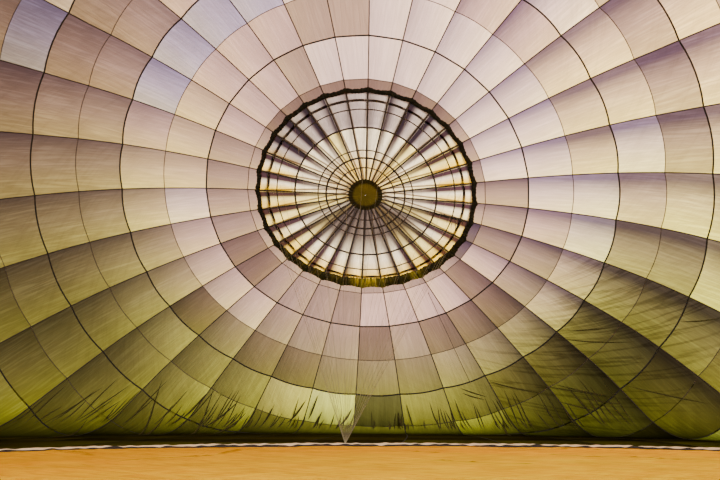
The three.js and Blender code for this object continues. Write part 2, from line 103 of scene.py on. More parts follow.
sun = light("sun", "SUN", SUN_STRENGTH, SUN_FROM)
sun.data.angle = math.radians(SUN_SOFT)
panel_light = light("mouth_panel", "AREA", SOFT_PANEL_POWER, SOFT_PANEL_AT - SOFT_PANEL_TOWARD)
panel_light.data.size = SOFT_PANEL
panel_light.location = SOFT_PANEL_AT
panel_light.visible_camera = False


def feed(tree, node, key, value):
    """Links a socket to the node's input, or sets the input to a value."""
    socket = node.inputs[key]
    if isinstance(value, bpy.types.NodeSocket):
        tree.links.new(value, socket)
    elif socket.type == "RGBA":
        socket.default_value = (*value, 1)
    else:
        socket.default_value = value


def put(tree, kind, inputs=(), **settings):
    """A new node: its inputs, by name or number, are set to a value or linked from a socket."""
    made = tree.nodes.new(kind)
    for key, value in settings.items():
        setattr(made, key, value)
    for key, value in dict(inputs).items():
        feed(tree, made, key, value)
    return made


def tinted(tree, factor, colour, tint, blend="MULTIPLY"):
    """The colour, tinted as far as the factor says."""
    colour_a, colour_b, colour_out = 6, 7, 2
    inputs = {"Factor": factor, colour_a: colour, colour_b: tint}
    return put(tree, "ShaderNodeMix", inputs, data_type="RGBA", blend_type=blend).outputs[colour_out]


def ranged(tree, value, low, high, start=0.0, end=1.0):
    """The value, stretched from start and end to low and high."""
    inputs = {"Value": value, "From Min": start, "From Max": end, "To Min": low, "To Max": high}
    return put(tree, "ShaderNodeMapRange", inputs).outputs[0]


def material(name):
    """An empty node material and its tree."""
    made = bpy.data.materials.new(name)
    made.use_nodes = True
    return made, made.node_tree


def surface(tree, colour, shades=(), roughness=0.6, specular=0.5, metallic=0.0, relief=None, strength=0.5,
            depth=0.02, through=0.0, holes=0.0):
    """The material's surface: its colour under varying shades, its relief, and the light that it
    lets through the cloth and through open weave."""
    shader, output = tree.nodes["Principled BSDF"], tree.nodes["Material Output"]
    for shade in shades:
        grey = put(tree, "ShaderNodeCombineXYZ", {0: shade, 1: shade, 2: shade})
        colour = tinted(tree, 1.0, colour, grey.outputs[0])
    for key, value in (("Base Color", colour), ("Roughness", roughness), ("Specular IOR Level", specular),
                       ("Metallic", metallic)):
        feed(tree, shader, key, value)
    if relief is None:
        return
    bump = put(tree, "ShaderNodeBump", {"Strength": strength, "Distance": depth, "Height": relief})
    feed(tree, shader, "Normal", bump.outputs[0])
    if through:
        back = put(tree, "ShaderNodeBsdfTranslucent", {"Color": colour, "Normal": bump.outputs[0]})
        mix = put(tree, "ShaderNodeMixShader", {0: through, 1: shader.outputs[0], 2: back.outputs[0]})
        if holes:
            clear = put(tree, "ShaderNodeBsdfTransparent")
            mix = put(tree, "ShaderNodeMixShader", {0: holes, 1: mix.outputs[0], 2: clear.outputs[0]})
        feed(tree, output, "Surface", mix.outputs[0])


floor_mesh = bpy.data.meshes.new("studio_floor")
floor_corners = [(x * FLOOR_HALF, y * FLOOR_HALF, 0) for x, y in ((-1, -1), (1, -1), (1, 1), (-1, 1))]
floor_mesh.from_pydata(floor_corners, [], [(0, 1, 2, 3)])
studio_paint, tree = material("studio_floor")
paint_noise = put(tree, "ShaderNodeTexNoise", {"Scale": 0.6, "Detail": 2.0})
paint_tone = ranged(tree, paint_noise.outputs[0], 0.0, 0.2)
surface(tree, tinted(tree, paint_tone, FLOOR_PAINT, FLOOR_MOTTLE), roughness=0.8)
studio_floor = in_scene("studio_floor", floor_mesh, studio_paint)


# The envelope's form
# Cold air fills the envelope to its natural shape, and its own weight bends it from the crown's
# axis down to the level mouth. The lowest gores lie flat on the ground.
GORES = 32
R_MAX, R_VENT, R_FIRST_SEAM, R_MOUTH = 16.5, 3.60, 4.29, 4.4
AXIS_END = 35.0
CROWN_TILT, STRAIGHT, BEND = math.radians(34), 1.5, 2.4
CROWN_Y, CROWN_Z = 15.420, 8.48
LOWER_LIFT, FLOOR_BLEND, FLOOR_SLIDE = 0.09, 0.9, 0.5
SHELL = 0.010
LOBE = 0.006
PANEL = 1.5
HEM_LENGTH = 1.2
STEP = 2 * math.pi / GORES
FIRST_TAPE = STEP / 2
PROFILE_STEP, PROFILE_PAST_VENT, NEARLY_WIDEST = 0.01, 0.3, 0.999
AXIS_START, AXIS_STEP = -0.5, 0.02


def profile_tables():
    """Gore length m, distance along the axis s and radius r, from inside the vent to the mouth."""
    def next_row(row, step):
        m, s, r = row
        k = (r / R_MAX) ** 2
        return m + step, s + step * k, r + step * math.sqrt(1 - k * k)

    rows = [(0.0, 0.0, R_FIRST_SEAM)]
    while rows[0][2] > R_VENT - PROFILE_PAST_VENT:
        rows.insert(0, next_row(rows[0], -PROFILE_STEP))
    while (rows[-1][2] / R_MAX) ** 2 < NEARLY_WIDEST:
        rows.append(next_row(rows[-1], PROFILE_STEP))
    m, s1, r1 = rows[-1]
    u = np.linspace(0, 1, 2001)
    s = s1 + (AXIS_END - s1) * u
    r = r1 - (r1 - R_MOUTH) * (3 * u ** 2 - u ** 3) / 2
    along = m + np.concatenate([[0], np.cumsum(np.hypot(np.diff(s), np.diff(r)))])
    head = np.array(rows).T
    return [np.concatenate([h, t[1:]]) for h, t in zip(head, (along, s, r))]


def axis_tables():
    """Distance along the centre line, its slope, and its place."""
    s = np.arange(AXIS_START, AXIS_END + AXIS_STEP, AXIS_STEP)
    left = np.clip(1 - (s - STRAIGHT) / (AXIS_END - STRAIGHT), 0, 1)
    slope = np.where(s < STRAIGHT, CROWN_TILT, CROWN_TILT * left ** BEND)
    middle = (slope[1:] + slope[:-1]) / 2
    y = -np.concatenate([[0], np.cumsum(np.cos(middle) * AXIS_STEP)])
    z = -np.concatenate([[0], np.cumsum(np.sin(middle) * AXIS_STEP)])
    start = np.argmin(abs(s))
    return s, slope, y - y[start] + CROWN_Y, z - z[start] + CROWN_Z


GORE_M, GORE_S, GORE_R = profile_tables()
AXIS_S, AXIS_SLOPE, AXIS_Y, AXIS_Z = axis_tables()
GORE_END = GORE_M[-1]
HEM_M = GORE_END - HEM_LENGTH


def gore_length_at(radius):
    """Gore length near the vent at which the envelope has the radius."""
    near_vent = 200
    return float(np.interp(radius, GORE_R[:near_vent], GORE_M[:near_vent]))


def rise(phi):
    """How high the skin lies at the angle, as a share of its radius. The lower half is flatter."""
    return np.sin(phi) + LOWER_LIFT * np.minimum(0, np.sin(phi)) ** 2


def skin(m, phi, lobe=0.0):
    """Points of the envelope's outer face at gore length m and angle phi, 0 at +X and upward."""
    m, phi = np.broadcast_arrays(np.asarray(m, float), np.asarray(phi, float))
    s, r = np.interp(m, GORE_M, GORE_S), np.interp(m, GORE_M, GORE_R) * (1 + lobe)
    slope = np.interp(s, AXIS_S, AXIS_SLOPE)
    y = np.interp(s, AXIS_S, AXIS_Y) - r * rise(phi) * np.sin(slope)
    z = np.interp(s, AXIS_S, AXIS_Z) + r * rise(phi) * np.cos(slope)
    w = FLOOR_BLEND
    lift = np.where(z > w, 0, np.where(z < -w, -z, (w - z) ** 2 / (4 * w)))
    return np.stack([r * np.cos(phi), y - FLOOR_SLIDE * lift, z + lift], -1)


# Cloth gores
# Each gore is a strip of coated ripstop nylon panels, 1.5 m long, sewn edge to edge. Between its
# load tapes it swells outward, and near the ground it hangs in folds.
SKIN_CLEAR = 0.004
HOOP_SWELL, SWELL_FULL = 0.035, 4
LOBE_FROM, LOBE_FULL = 1.0, 4.0
SEWN_SHARE = 0.125
# the hanging folds: how far out and how close they stand, and the least and most of their shift, width,
# depth and lean
FOLDS_OUT, FOLDS_EVERY, FOLDS_SEED = 16, 0.55, 3
FOLD_SPANS = [(-0.2, 0.2), (0.05, 0.16), (0.02, 0.09), (-0.25, 0.25)]
CLOTH_LOTS = {
    "pale": (0.82, 0.55, 0.44), "lilac": (0.49, 0.37, 0.44), "rose": (0.63, 0.38, 0.29),
    "tan": (0.42, 0.26, 0.175), "straw": (0.73, 0.47, 0.26), "clay": (0.37, 0.225, 0.165),
    "umber": (0.21, 0.120, 0.088), "dusky": (0.13, 0.080, 0.085), "drab": (0.29, 0.175, 0.125),
}
# by row of panels, counted from the vent: first and last gore of each run, and the lot it was cut from
LOT_RUNS = {
    -1: [(1, 3, "clay"), (4, 12, "umber"), (13, 23, "tan"), (24, 28, "clay"), (29, 30, "dusky"),
         (31, 32, "tan")],
    0: [(10, 10, "tan"), (11, 13, "rose"), (14, 16, "tan"), (17, 17, "clay"), (18, 19, "umber"),
        (20, 22, "clay"), (23, 23, "drab"), (24, 27, "rose"), (28, 28, "umber"), (29, 29, "rose"),
        (30, 30, "drab"), (31, 32, "tan")],
    1: [(8, 9, "tan"), (10, 12, "rose"), (13, 15, "straw"), (17, 20, "rose"), (21, 23, "clay"),
        (24, 24, "umber"), (25, 25, "clay"), (26, 28, "umber"), (29, 30, "clay"), (31, 31, "rose")],
    2: [(1, 3, "straw"), (4, 5, "rose"), (10, 13, "lilac"), (14, 14, "rose"), (15, 16, "straw"),
        (17, 18, "tan"), (19, 19, "umber"), (20, 20, "drab"), (21, 22, "umber"), (23, 25, "drab"),
        (26, 27, "clay"), (28, 28, "tan"), (29, 30, "rose")],
    3: [(1, 1, "pale"), (2, 3, "straw"), (4, 5, "pale"), (12, 13, "clay"), (14, 16, "tan"), (17, 19, "clay"),
        (20, 21, "drab"), (22, 22, "rose"), (23, 23, "pale"), (24, 24, "dusky"), (25, 25, "clay"),
        (26, 26, "drab"), (27, 28, "umber"), (29, 29, "drab"), (30, 31, "clay"), (32, 32, "rose")],
    4: [(1, 3, "tan"), (13, 13, "clay"), (14, 16, "tan"), (17, 19, "clay"), (20, 21, "tan"), (22, 22, "drab"),
        (23, 25, "tan"), (26, 26, "straw"), (27, 30, "drab"), (31, 31, "clay"), (32, 32, "straw")],
    5: [(1, 3, "straw"), (13, 13, "lilac"), (14, 15, "clay"), (16, 16, "tan"), (17, 21, "clay"),
        (29, 29, "umber"), (30, 30, "drab"), (31, 32, "straw")],
    6: [(17, 18, "drab"), (28, 30, "umber")],
}
DEFAULT_LOTS = ["pale", "straw", "tan", "clay", "tan", "rose", "clay"]
DEFAULT_FROM = 3
LOT_SHADES = (0.94, 1.04)
# where the wall is in shade: angle in degrees, gore length, their half widths, and how deep the shade is
SHADES = [(318, 7.2, 30, 4.2, 0.86), (205, 7.8, 28, 2.8, 0.45), (345, 8.6, 22, 1.6, 0.45),
          (140, 8.6, 22, 1.8, 0.45)]
# painted shade near the ground: how dark the wall is, by its height
FLOOR_SHADE_HEIGHT = [0.0, 0.05, 0.25, 0.6, 1.1, 1.9]
FLOOR_SHADE_DEPTH = [0.76, 0.84, 0.66, 0.38, 0.12, 0.0]
# where a tone begins and where it is full, by gore length or by height
INSIDE, GROUND_LIGHT_ALONG, GROUND_LIGHT_HEIGHT, GREEN_LIGHT_HEIGHT = (22, 16), (1.5, 4.7), (12, 4), (2.8, 0.6)
PULL_FROM, PULL_TO, SIDE_ALONG = (2.5, 4.5), (10, 8), (-5, 4)
SIDE_LEAST, LIT_GAIN, DARK_GAIN_RIGHT, DARK_GAIN_LEFT = 0.6, 1.2, 1.45, 0.85
PULL_LEAST, PULL_MORE, PULL_FULL = 0.35, 0.5, 8
# the gores at the lower right, whose cloth is pulled slantwise
SLANT_GORES, SLANT_STRONG, SLANT_WEAK = range(26, 30), 0.6, 0.10
# the folds show between these heights, on cloth that doesn't face up, and end along the gore
FOLD_LOW, FOLD_HIGH, FOLD_FACING, FOLD_END = (0.02, 0.32), (2.6, 0.4), (0.6, -0.4), (14, 11)


def ramp(value, start, end):
    """0 before start, 1 after end, and straight between them. The end may be below the start."""
    return np.clip((value - start) / (end - start), 0, 1)


def lot_colour(row, gore):
    """The colour of one panel: its lot, a little lighter or darker."""
    name = DEFAULT_LOTS[(row + gore // 4) % len(DEFAULT_LOTS)] if row >= DEFAULT_FROM else "pale"
    for first, last, lot in LOT_RUNS.get(row, []):
        if first <= gore + 1 <= last:
            name = lot
    shade = random.Random(row * 100 + gore).uniform(*LOT_SHADES)
    return [c * shade for c in CLOTH_LOTS[name]]


def swell(m):
    """How far a ring tape every second seam lets the cloth swell along the gore."""
    return HOOP_SWELL * ramp(m, 0, SWELL_FULL) * np.sin(math.pi * (m - PANEL) / (2 * PANEL)) ** 2


def free_of_tapes(u):
    """How freely the cloth moves across a gore: not at all at its two load tapes."""
    return ramp(np.minimum(u, 1 - u), 0, SEWN_SHARE)


def fold_field(x, z):
    """Depth of the hanging folds near the ground at places x along the wall."""
    rng = np.random.default_rng(FOLDS_SEED)
    depth = np.zeros_like(x)
    for centre in np.arange(-FOLDS_OUT, FOLDS_OUT, FOLDS_EVERY):
        shift, wide, deep, lean = [rng.uniform(*span) for span in FOLD_SPANS]
        depth += deep * np.exp(-((x - centre - shift - lean * z) / wide) ** 2)
    return depth


def gore_surface(gore, m, u):
    """Points of one gore's cloth: m along it, u from 0 to 1 across it."""
    a = FIRST_TAPE + gore * STEP
    lobe = np.interp(m, [LOBE_FROM, LOBE_FULL], [math.cos(STEP / 2) - 1, LOBE])
    left, middle, right = skin(m, a), skin(m, a + STEP / 2, lobe), skin(m, a + STEP)
    weights = (2 * (u - 0.5) * (u - 1), 4 * u * (1 - u), 2 * u * (u - 0.5))
    return sum(w[..., None] * p for w, p in zip(weights, (left, middle, right)))


def gore_normals(points):
    """Outward normals of a grid of points, rows along the gore and columns across it."""
    along, across = np.gradient(points, axis=0), np.gradient(points, axis=1)
    n = np.cross(across, along)
    return n / np.maximum(np.linalg.norm(n, axis=-1, keepdims=True), 1e-9)


def gore_tones(m, u, height, gore):
    """The values that the cloth's material reads, by name, at each point of a gore."""
    sideways = math.cos(FIRST_TAPE + (gore + 0.5) * STEP)
    # on the sides a gore's lower edge faces the bright ground and its upper edge the sky, so its lower edge
    # gets painted light and its upper edge painted shade
    side = -(2 * u - 1) * sideways * np.maximum(ramp(m, *SIDE_ALONG), SIDE_LEAST)
    angle = np.degrees(FIRST_TAPE + (gore + u) * STEP)
    shade = np.zeros_like(m)
    for at, far, wide, long, deep in SHADES:
        off = ((angle - at + 180) % 360 - 180) / wide
        shade = np.maximum(shade, deep * np.exp(-off ** 2 - ((m - far) / long) ** 2))
    inside = ramp(m, *INSIDE)
    pulled = SLANT_STRONG if gore in SLANT_GORES else SLANT_WEAK
    return {
        # painted light on a side gore's lower edge, painted shade on its upper edge
        "lit_edge": np.clip(side * LIT_GAIN, 0, 1),
        "shaded_edge": np.clip(-side * (DARK_GAIN_RIGHT if sideways > 0 else DARK_GAIN_LEFT), 0, 1),
        "shade": shade,
        # painted shade on the wall near the ground
        "floor_shade": np.interp(height, FLOOR_SHADE_HEIGHT, FLOOR_SHADE_DEPTH) * inside,
        # painted yellow light from the ground cloth on the lower wall
        "ground_light": ramp(m, *GROUND_LIGHT_ALONG) * ramp(height, *GROUND_LIGHT_HEIGHT) * inside,
        # painted yellow-green light on the wall low down
        "green_light": ramp(height, *GREEN_LIGHT_HEIGHT) * inside,
        # how strongly the fine crease lines are painted darker, as shade
        "pull": PULL_LEAST + PULL_MORE * ramp(m, 0, PULL_FULL) * abs(sideways),
        # where slanting pull lines stand out, in relief and as painted shade
        "pull_lines": ramp(m, *PULL_FROM) * ramp(m, *PULL_TO) * pulled,
    }


def uv_layer(mesh, name, uv, quads, closed, turns):
    """A uv map from a value for each point of the grid. A closed one goes on past its last column."""
    corners = uv.reshape(-1, 2)[quads.ravel()].reshape(-1, 4, 2)
    if closed:
        wrap = corners[:, 1, 0] < corners[:, 0, 0]
        corners[wrap, 1, 0] += turns
        corners[wrap, 2, 0] += turns
    mesh.uv_layers.new(name=name).data.foreach_set("uv", corners.astype(np.float32).ravel())


def grid_mesh(name, points, uv, closed=False, spokes=None):
    """A smooth sheet from a grid of points, with its uv map in metres."""
    rows, cols = points.shape[:2]
    index = np.arange(rows * cols).reshape(rows, cols)
    nxt = np.roll(index, -1, axis=1)
    last = cols if closed else cols - 1
    quads = [index[:-1, :last], nxt[:-1, :last], nxt[1:, :last], index[1:, :last]]
    quads = np.stack(quads, -1).reshape(-1, 4)
    mesh = bpy.data.meshes.new(name)
    mesh.from_pydata(points.reshape(-1, 3).tolist(), [], quads.tolist())
    uv_layer(mesh, "cloth", uv, quads, closed, (uv[0, 1, 0] - uv[0, 0, 0]) * cols)
    if spokes is not None:
        uv_layer(mesh, "spokes", spokes, quads, closed, GORES)
    mesh.polygons.foreach_set("use_smooth", [True] * len(mesh.polygons))
    mesh.update()
    return mesh


def point_value(mesh, name, values):
    """A number on each point, which a material reads by its name."""
    attribute = mesh.attributes.new(name, "FLOAT", "POINT")
    attribute.data.foreach_set("value", np.asarray(values, np.float32).ravel())


def face_colour(mesh, name, colours):
    """A colour on each face, which a material reads by its name."""
    attribute = mesh.attributes.new(name, "FLOAT_COLOR", "FACE")
    rgba = np.concatenate([np.asarray(colours, np.float32), np.ones((len(colours), 1), np.float32)], 1)
    attribute.data.foreach_set("color", rgba.ravel())


def math_of(tree, operation, *values):
    """A Math node's result."""
    return put(tree, "ShaderNodeMath", enumerate(values), operation=operation).outputs[0]


def shader_group(name, inputs, outputs):
    """An empty shader group with named number sockets, and its input and output nodes."""
    tree = bpy.data.node_groups.new(name, "ShaderNodeTree")
    tree.interface.new_socket("Vector", in_out="INPUT", socket_type="NodeSocketVector")
    for label, value in inputs.items():
        tree.interface.new_socket(label, in_out="INPUT", socket_type="NodeSocketFloat").default_value = value
    for label in outputs:
        tree.interface.new_socket(label, in_out="OUTPUT", socket_type="NodeSocketFloat")
    return tree, tree.nodes.new("NodeGroupInput").outputs, tree.nodes.new("NodeGroupOutput")


# ripstop: a fine square grid of thicker threads in a plain weave
ripstop, given, result = shader_group("ripstop weave", {"Cell": 0.008}, ["Height", "Shade"])
per_cell = math_of(ripstop, "DIVIDE", math.pi, given["Cell"])
scaled = put(ripstop, "ShaderNodeVectorMath", {0: given["Vector"], "Scale": per_cell}, operation="SCALE")
split = put(ripstop, "ShaderNodeSeparateXYZ", {0: scaled.outputs[0]})
waves = [math_of(ripstop, "ABSOLUTE", math_of(ripstop, "COSINE", split.outputs[i])) for i in (0, 1)]
rib = math_of(ripstop, "MAXIMUM", *[math_of(ripstop, "POWER", wave, 14.0) for wave in waves])
feed(ripstop, result, "Height", rib)
feed(ripstop, result, "Shade", math_of(ripstop, "MULTIPLY_ADD", rib, -0.10, 1.0))

# creases: noise drawn out along one direction, and a mask of thin lines where the cloth is pinched, which
# materials darken as painted shade
creases, given, result = shader_group(
    "drawn creases", {"Turn": 0.0, "Across": 5.0, "Along": 0.4, "Thin": 8.0}, ["Height", "Line"])
turned = put(creases, "ShaderNodeVectorRotate", {"Vector": given["Vector"], "Angle": given["Turn"]},
             rotation_type="Z_AXIS")
stretch = put(creases, "ShaderNodeCombineXYZ", {0: given["Across"], 1: given["Along"], 2: 1.0})
drawn = put(creases, "ShaderNodeVectorMath", {0: turned.outputs[0], 1: stretch.outputs[0]},
            operation="MULTIPLY")
noise = put(creases, "ShaderNodeTexNoise", {"Vector": drawn.outputs[0], "Scale": 1.0, "Detail": 3.0,
                                           "Roughness": 0.55, "Distortion": 0.25})
feed(creases, result, "Height", noise.outputs[0])
off = math_of(creases, "ABSOLUTE", math_of(creases, "SUBTRACT", noise.outputs[0], 0.5))
line = math_of(creases, "SUBTRACT", 1.0, math_of(creases, "MULTIPLY", off, given["Thin"]))
feed(creases, result, "Line", math_of(creases, "MAXIMUM", line, 0.0))

# mottle: broad, soft differences of tone in old coated cloth
mottle, given, result = shader_group("mottled coating", {"Size": 1.0, "Amount": 0.15}, ["Shade"])
per_size = math_of(mottle, "DIVIDE", 1.0, given["Size"])
noise = put(mottle, "ShaderNodeTexNoise", {"Vector": given["Vector"], "Scale": per_size, "Detail": 4.0})
centred = math_of(mottle, "SUBTRACT", noise.outputs[0], 0.5)
twice = math_of(mottle, "MULTIPLY", given["Amount"], 2.0)
feed(mottle, result, "Shade", math_of(mottle, "MULTIPLY_ADD", centred, twice, 1.0))


def woven(tree, at, cell):
    """The ripstop weave in a material: its Height and Shade."""
    return put(tree, "ShaderNodeGroup", {"Vector": at, "Cell": cell}, node_tree=ripstop).outputs


def creased(tree, at, across, along, thin, turn=0.0):
    """The drawn creases in a material: their Height and Line."""
    inputs = {"Vector": at, "Turn": turn, "Across": across, "Along": along, "Thin": thin}
    return put(tree, "ShaderNodeGroup", inputs, node_tree=creases).outputs


def mottled(tree, at, size, amount):
    """The mottled coating in a material: its shade."""
    inputs = {"Vector": at, "Size": size, "Amount": amount}
    return put(tree, "ShaderNodeGroup", inputs, node_tree=mottle).outputs[0]


def cloth_uv(tree):
    """Places along the cloth, in metres."""
    return put(tree, "ShaderNodeUVMap", uv_map="cloth").outputs[0]


def place(tree):
    """Places in the object's own space."""
    return put(tree, "ShaderNodeTexCoord").outputs["Object"]


def value_of(tree, name, kind="Fac"):
    """A number or colour that the mesh carries by name."""
    return put(tree, "ShaderNodeAttribute", attribute_name=name).outputs[kind]


def dyed(tree, colour, layers):
    """The colour under tints, each as strong as its mask, a named value of the mesh or a socket."""
    for mask, tint in layers:
        mask = value_of(tree, mask) if isinstance(mask, str) else mask
        colour = tinted(tree, mask, colour, tint)
    return colour


RIPSTOP_CELL = 0.008
gore_cloth, tree = material("envelope_ripstop")
uv = cloth_uv(tree)
pull_lines = value_of(tree, "pull_lines")
weave = woven(tree, uv, RIPSTOP_CELL)
fine = creased(tree, uv, 7.0, 0.5, 5.0)
slant = creased(tree, uv, 2.6, 0.16, 20.0, turn=0.9)
# the panel's lot colour under painted light and shade: lit and shaded edges, yellow light from the ground
# cloth, yellow-green light low down, painted shade on the wall and near the ground, and painted shade along
# pull lines and creases
colour = dyed(tree, value_of(tree, "lot", "Color"), [
    ("lit_edge", (1.45, 1.55, 0.95)), ("shaded_edge", (0.22, 0.20, 0.40)), ("ground_light", (0.80, 1.10, 0.42)),
    ("green_light", (0.92, 1.01, 0.46)), ("shade", (0.03, 0.035, 0.02)), ("floor_shade", (0.012, 0.040, 0.001)),
    (math_of(tree, "MULTIPLY", slant["Line"], pull_lines), (0.30, 0.27, 0.24)),
    (math_of(tree, "MULTIPLY", fine["Line"], value_of(tree, "pull")), (0.62, 0.58, 0.56))])
relief = math_of(tree, "MULTIPLY", slant["Height"], pull_lines)
relief = math_of(tree, "MULTIPLY_ADD", fine["Height"], 0.7, relief)
relief = math_of(tree, "MULTIPLY_ADD", weave["Height"], 0.02, relief)
surface(tree, colour, [mottled(tree, place(tree), 1.3, 0.16), weave["Shade"]], specular=0.0, relief=relief,
        depth=0.05, through=0.65)

FINE_ROWS, COARSE_ROWS = 0.125, 0.42
FINE_FROM, FINE_END = -0.375, 13.0
FOLDED_GORES, FOLDED_COLS, PLAIN_COLS = range(17, 30), 20, 9
UV_APART = 7.3
# the cloth is hemmed back a little from the ends of its load tapes, which cross the vent as vent tapes
VENT_HEM_R = 3.80
rows_m = np.concatenate([[gore_length_at(VENT_HEM_R)], np.arange(FINE_FROM, FINE_END, FINE_ROWS),
                         np.arange(FINE_END, HEM_M, COARSE_ROWS), [HEM_M]])
for gore in range(GORES):
    folded = gore in FOLDED_GORES
    m, u = np.meshgrid(rows_m, np.linspace(0, 1, FOLDED_COLS if folded else PLAIN_COLS), indexing="ij")
    points = gore_surface(gore, m, u)
    normals = gore_normals(points)
    height = points[..., 2]
    free = free_of_tapes(u)
    sunk = fold_field(points[..., 0], height) * free if folded else np.zeros_like(m)
    wall = ramp(height, *FOLD_LOW) * ramp(height, *FOLD_HIGH) * ramp(normals[..., 2], *FOLD_FACING)
    out = swell(m) * free - SHELL / 2 - sunk * wall * ramp(m, *FOLD_END)
    points = points + normals * out[..., None]
    points[..., 2] = np.maximum(points[..., 2], SKIN_CLEAR)
    width = np.interp(m, GORE_M, GORE_R) * STEP
    mesh = grid_mesh(f"cloth_{gore + 1:02d}", points, np.stack([(u - 0.5) * width + gore * UV_APART, m], -1))
    for name, values in gore_tones(m, u, height, gore).items():
        point_value(mesh, name, values)
    row_of = np.floor(((m[:-1, :-1] + m[1:, 1:]) / 2) / PANEL).astype(int).ravel()
    colours = {row: lot_colour(row, gore) for row in set(row_of.tolist())}
    face_colour(mesh, "lot", [colours[row] for row in row_of.tolist()])
    cloth = in_scene(f"cloth_gore_{gore + 1:02d}", mesh, gore_cloth)
    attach(cloth, "envelope")
    name = f"gore_{gore + 1:02d}"
    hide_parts(*[n for n in (name, name + "_floor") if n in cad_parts])


# Load tapes and ring tapes
# Polyester webbing carries the load: one tape down every seam between two gores, and a heavier
# ring tape round every second row of panels. The rings between are plain felled seams.
TAPE_WIDE, TAPE_THICK = 0.038, 0.004
RING_WIDE, RING_THICK = 0.054, 0.005
SEAM_WIDE, SEAM_THICK = 0.026, 0.003
TAPE_SUNK, TAPE_SHORT = 0.006, 0.02
TAPE_STEP, TAPE_STEP_FAR, TAPE_FAR = 0.25, 0.6, 14
RING_STEPS, RING_SHORT = 6, 0.2
NEAR = 0.02
NEAR_TURN = 0.01
GROUND_CLEAR, SOFT_FLOOR = 0.002, 0.012
# painted shade on the tapes near the ground, as on the wall: its strength, its tint, and the heights where it
# ends and where it is full
LOW_SHADE, LOW_SHADE_TINT, LOW_SHADE_TOP, LOW_SHADE_FULL = 0.95, (0.05, 0.06, 0.03), 1.4, 0.2


def path_tree(name, sizes, section):
    """Geometry Nodes: a section drawn along each path. The sizes are inputs of the tree."""
    tree = bpy.data.node_groups.new(name, "GeometryNodeTree")
    for label, kind in [("Path", "Geometry"), *sizes, ("Material", "Material")]:
        tree.interface.new_socket(label, in_out="INPUT", socket_type="NodeSocket" + kind)
    tree.interface.new_socket("Piece", in_out="OUTPUT", socket_type="NodeSocketGeometry")
    given, result = tree.nodes.new("NodeGroupInput").outputs, tree.nodes.new("NodeGroupOutput")
    curve = put(tree, "GeometryNodeMeshToCurve", {"Mesh": given["Path"]})
    drawn = section(tree, curve.outputs[0], given)
    real = put(tree, "GeometryNodeRealizeInstances", {0: drawn.outputs[0]})
    dress = {"Geometry": real.outputs[0], "Material": given["Material"]}
    dressed = put(tree, "GeometryNodeSetMaterial", dress)
    feed(tree, result, "Piece", dressed.outputs[0])
    return tree


def tape_section(tree, curve, given):
    """A flat tape that lies square to the direction named lay and is as wide as the share named taper."""
    lay = put(tree, "GeometryNodeInputNamedAttribute", {"Name": "lay"}, data_type="FLOAT_VECTOR")
    taper = put(tree, "GeometryNodeInputNamedAttribute", {"Name": "taper"}, data_type="FLOAT")
    faced = put(tree, "GeometryNodeSetCurveNormal", {"Curve": curve, "Normal": lay.outputs["Attribute"]},
                mode="FREE")
    flat = put(tree, "GeometryNodeCurvePrimitiveQuadrilateral",
               {"Width": given["Thickness"], "Height": given["Width"]})
    return put(tree, "GeometryNodeCurveToMesh", {"Curve": faced.outputs[0], "Profile Curve": flat.outputs[0],
                                                 "Scale": taper.outputs["Attribute"], "Fill Caps": True})


TAPE_TREE = path_tree("tape along a path", [("Width", "Float"), ("Thickness", "Float")], tape_section)


def plain_mesh(name, paths, lays, tree, values, closed=False, narrowing=False):
    """A Geometry Nodes tree's result along the paths, as an object with a plain mesh. The lays give
    the direction that a tape's face looks in."""
    verts, edges, lay, taper = [], [], [], []
    for path, normal in zip(paths, lays):
        start, count = len(verts), len(path)
        verts += path.tolist()
        lay.append(np.broadcast_to(normal, path.shape))
        share = np.linspace(0, 1, count)
        taper.append(0.06 + 0.94 * np.sin(share * math.pi) ** 0.8 if narrowing else np.ones(count))
        edges += [(start + i, start + i + 1) for i in range(count - 1)]
        if closed:
            edges.append((start + count - 1, start))
    mesh = bpy.data.meshes.new("paths")
    mesh.from_pydata(verts, edges, [])
    attribute = mesh.attributes.new("lay", "FLOAT_VECTOR", "POINT")
    attribute.data.foreach_set("vector", np.concatenate(lay).astype(np.float32).ravel())
    point_value(mesh, "taper", np.concatenate(taper))
    holder = in_scene("paths", mesh)
    modifier = holder.modifiers.new("shape", "NODES")
    modifier.node_group = tree
    for item in tree.interface.items_tree:
        if item.in_out == "INPUT" and item.name in values:
            modifier[item.identifier] = values[item.name]
    graph = bpy.context.evaluated_depsgraph_get()
    shape = bpy.data.meshes.new_from_object(holder.evaluated_get(graph), depsgraph=graph)
    holder.modifiers.remove(modifier)
    bpy.data.objects.remove(holder)
    shape.name = name
    return in_scene(name, shape)


def lay_tapes(name, paths, lays, wide, thick, cloth, **ends):
    """Flat tapes along the paths, as one piece. Where they meet the ground they lie on it."""
    sizes = {"Width": wide, "Thickness": thick, "Material": cloth}
    made = plain_mesh(name, paths, lays, TAPE_TREE, sizes, **ends)
    room = SOFT_FLOOR - GROUND_CLEAR
    for vertex in made.data.vertices:
        if vertex.co.z < SOFT_FLOOR:
            vertex.co.z = GROUND_CLEAR + room * math.exp((vertex.co.z - SOFT_FLOOR) / room)
    return made


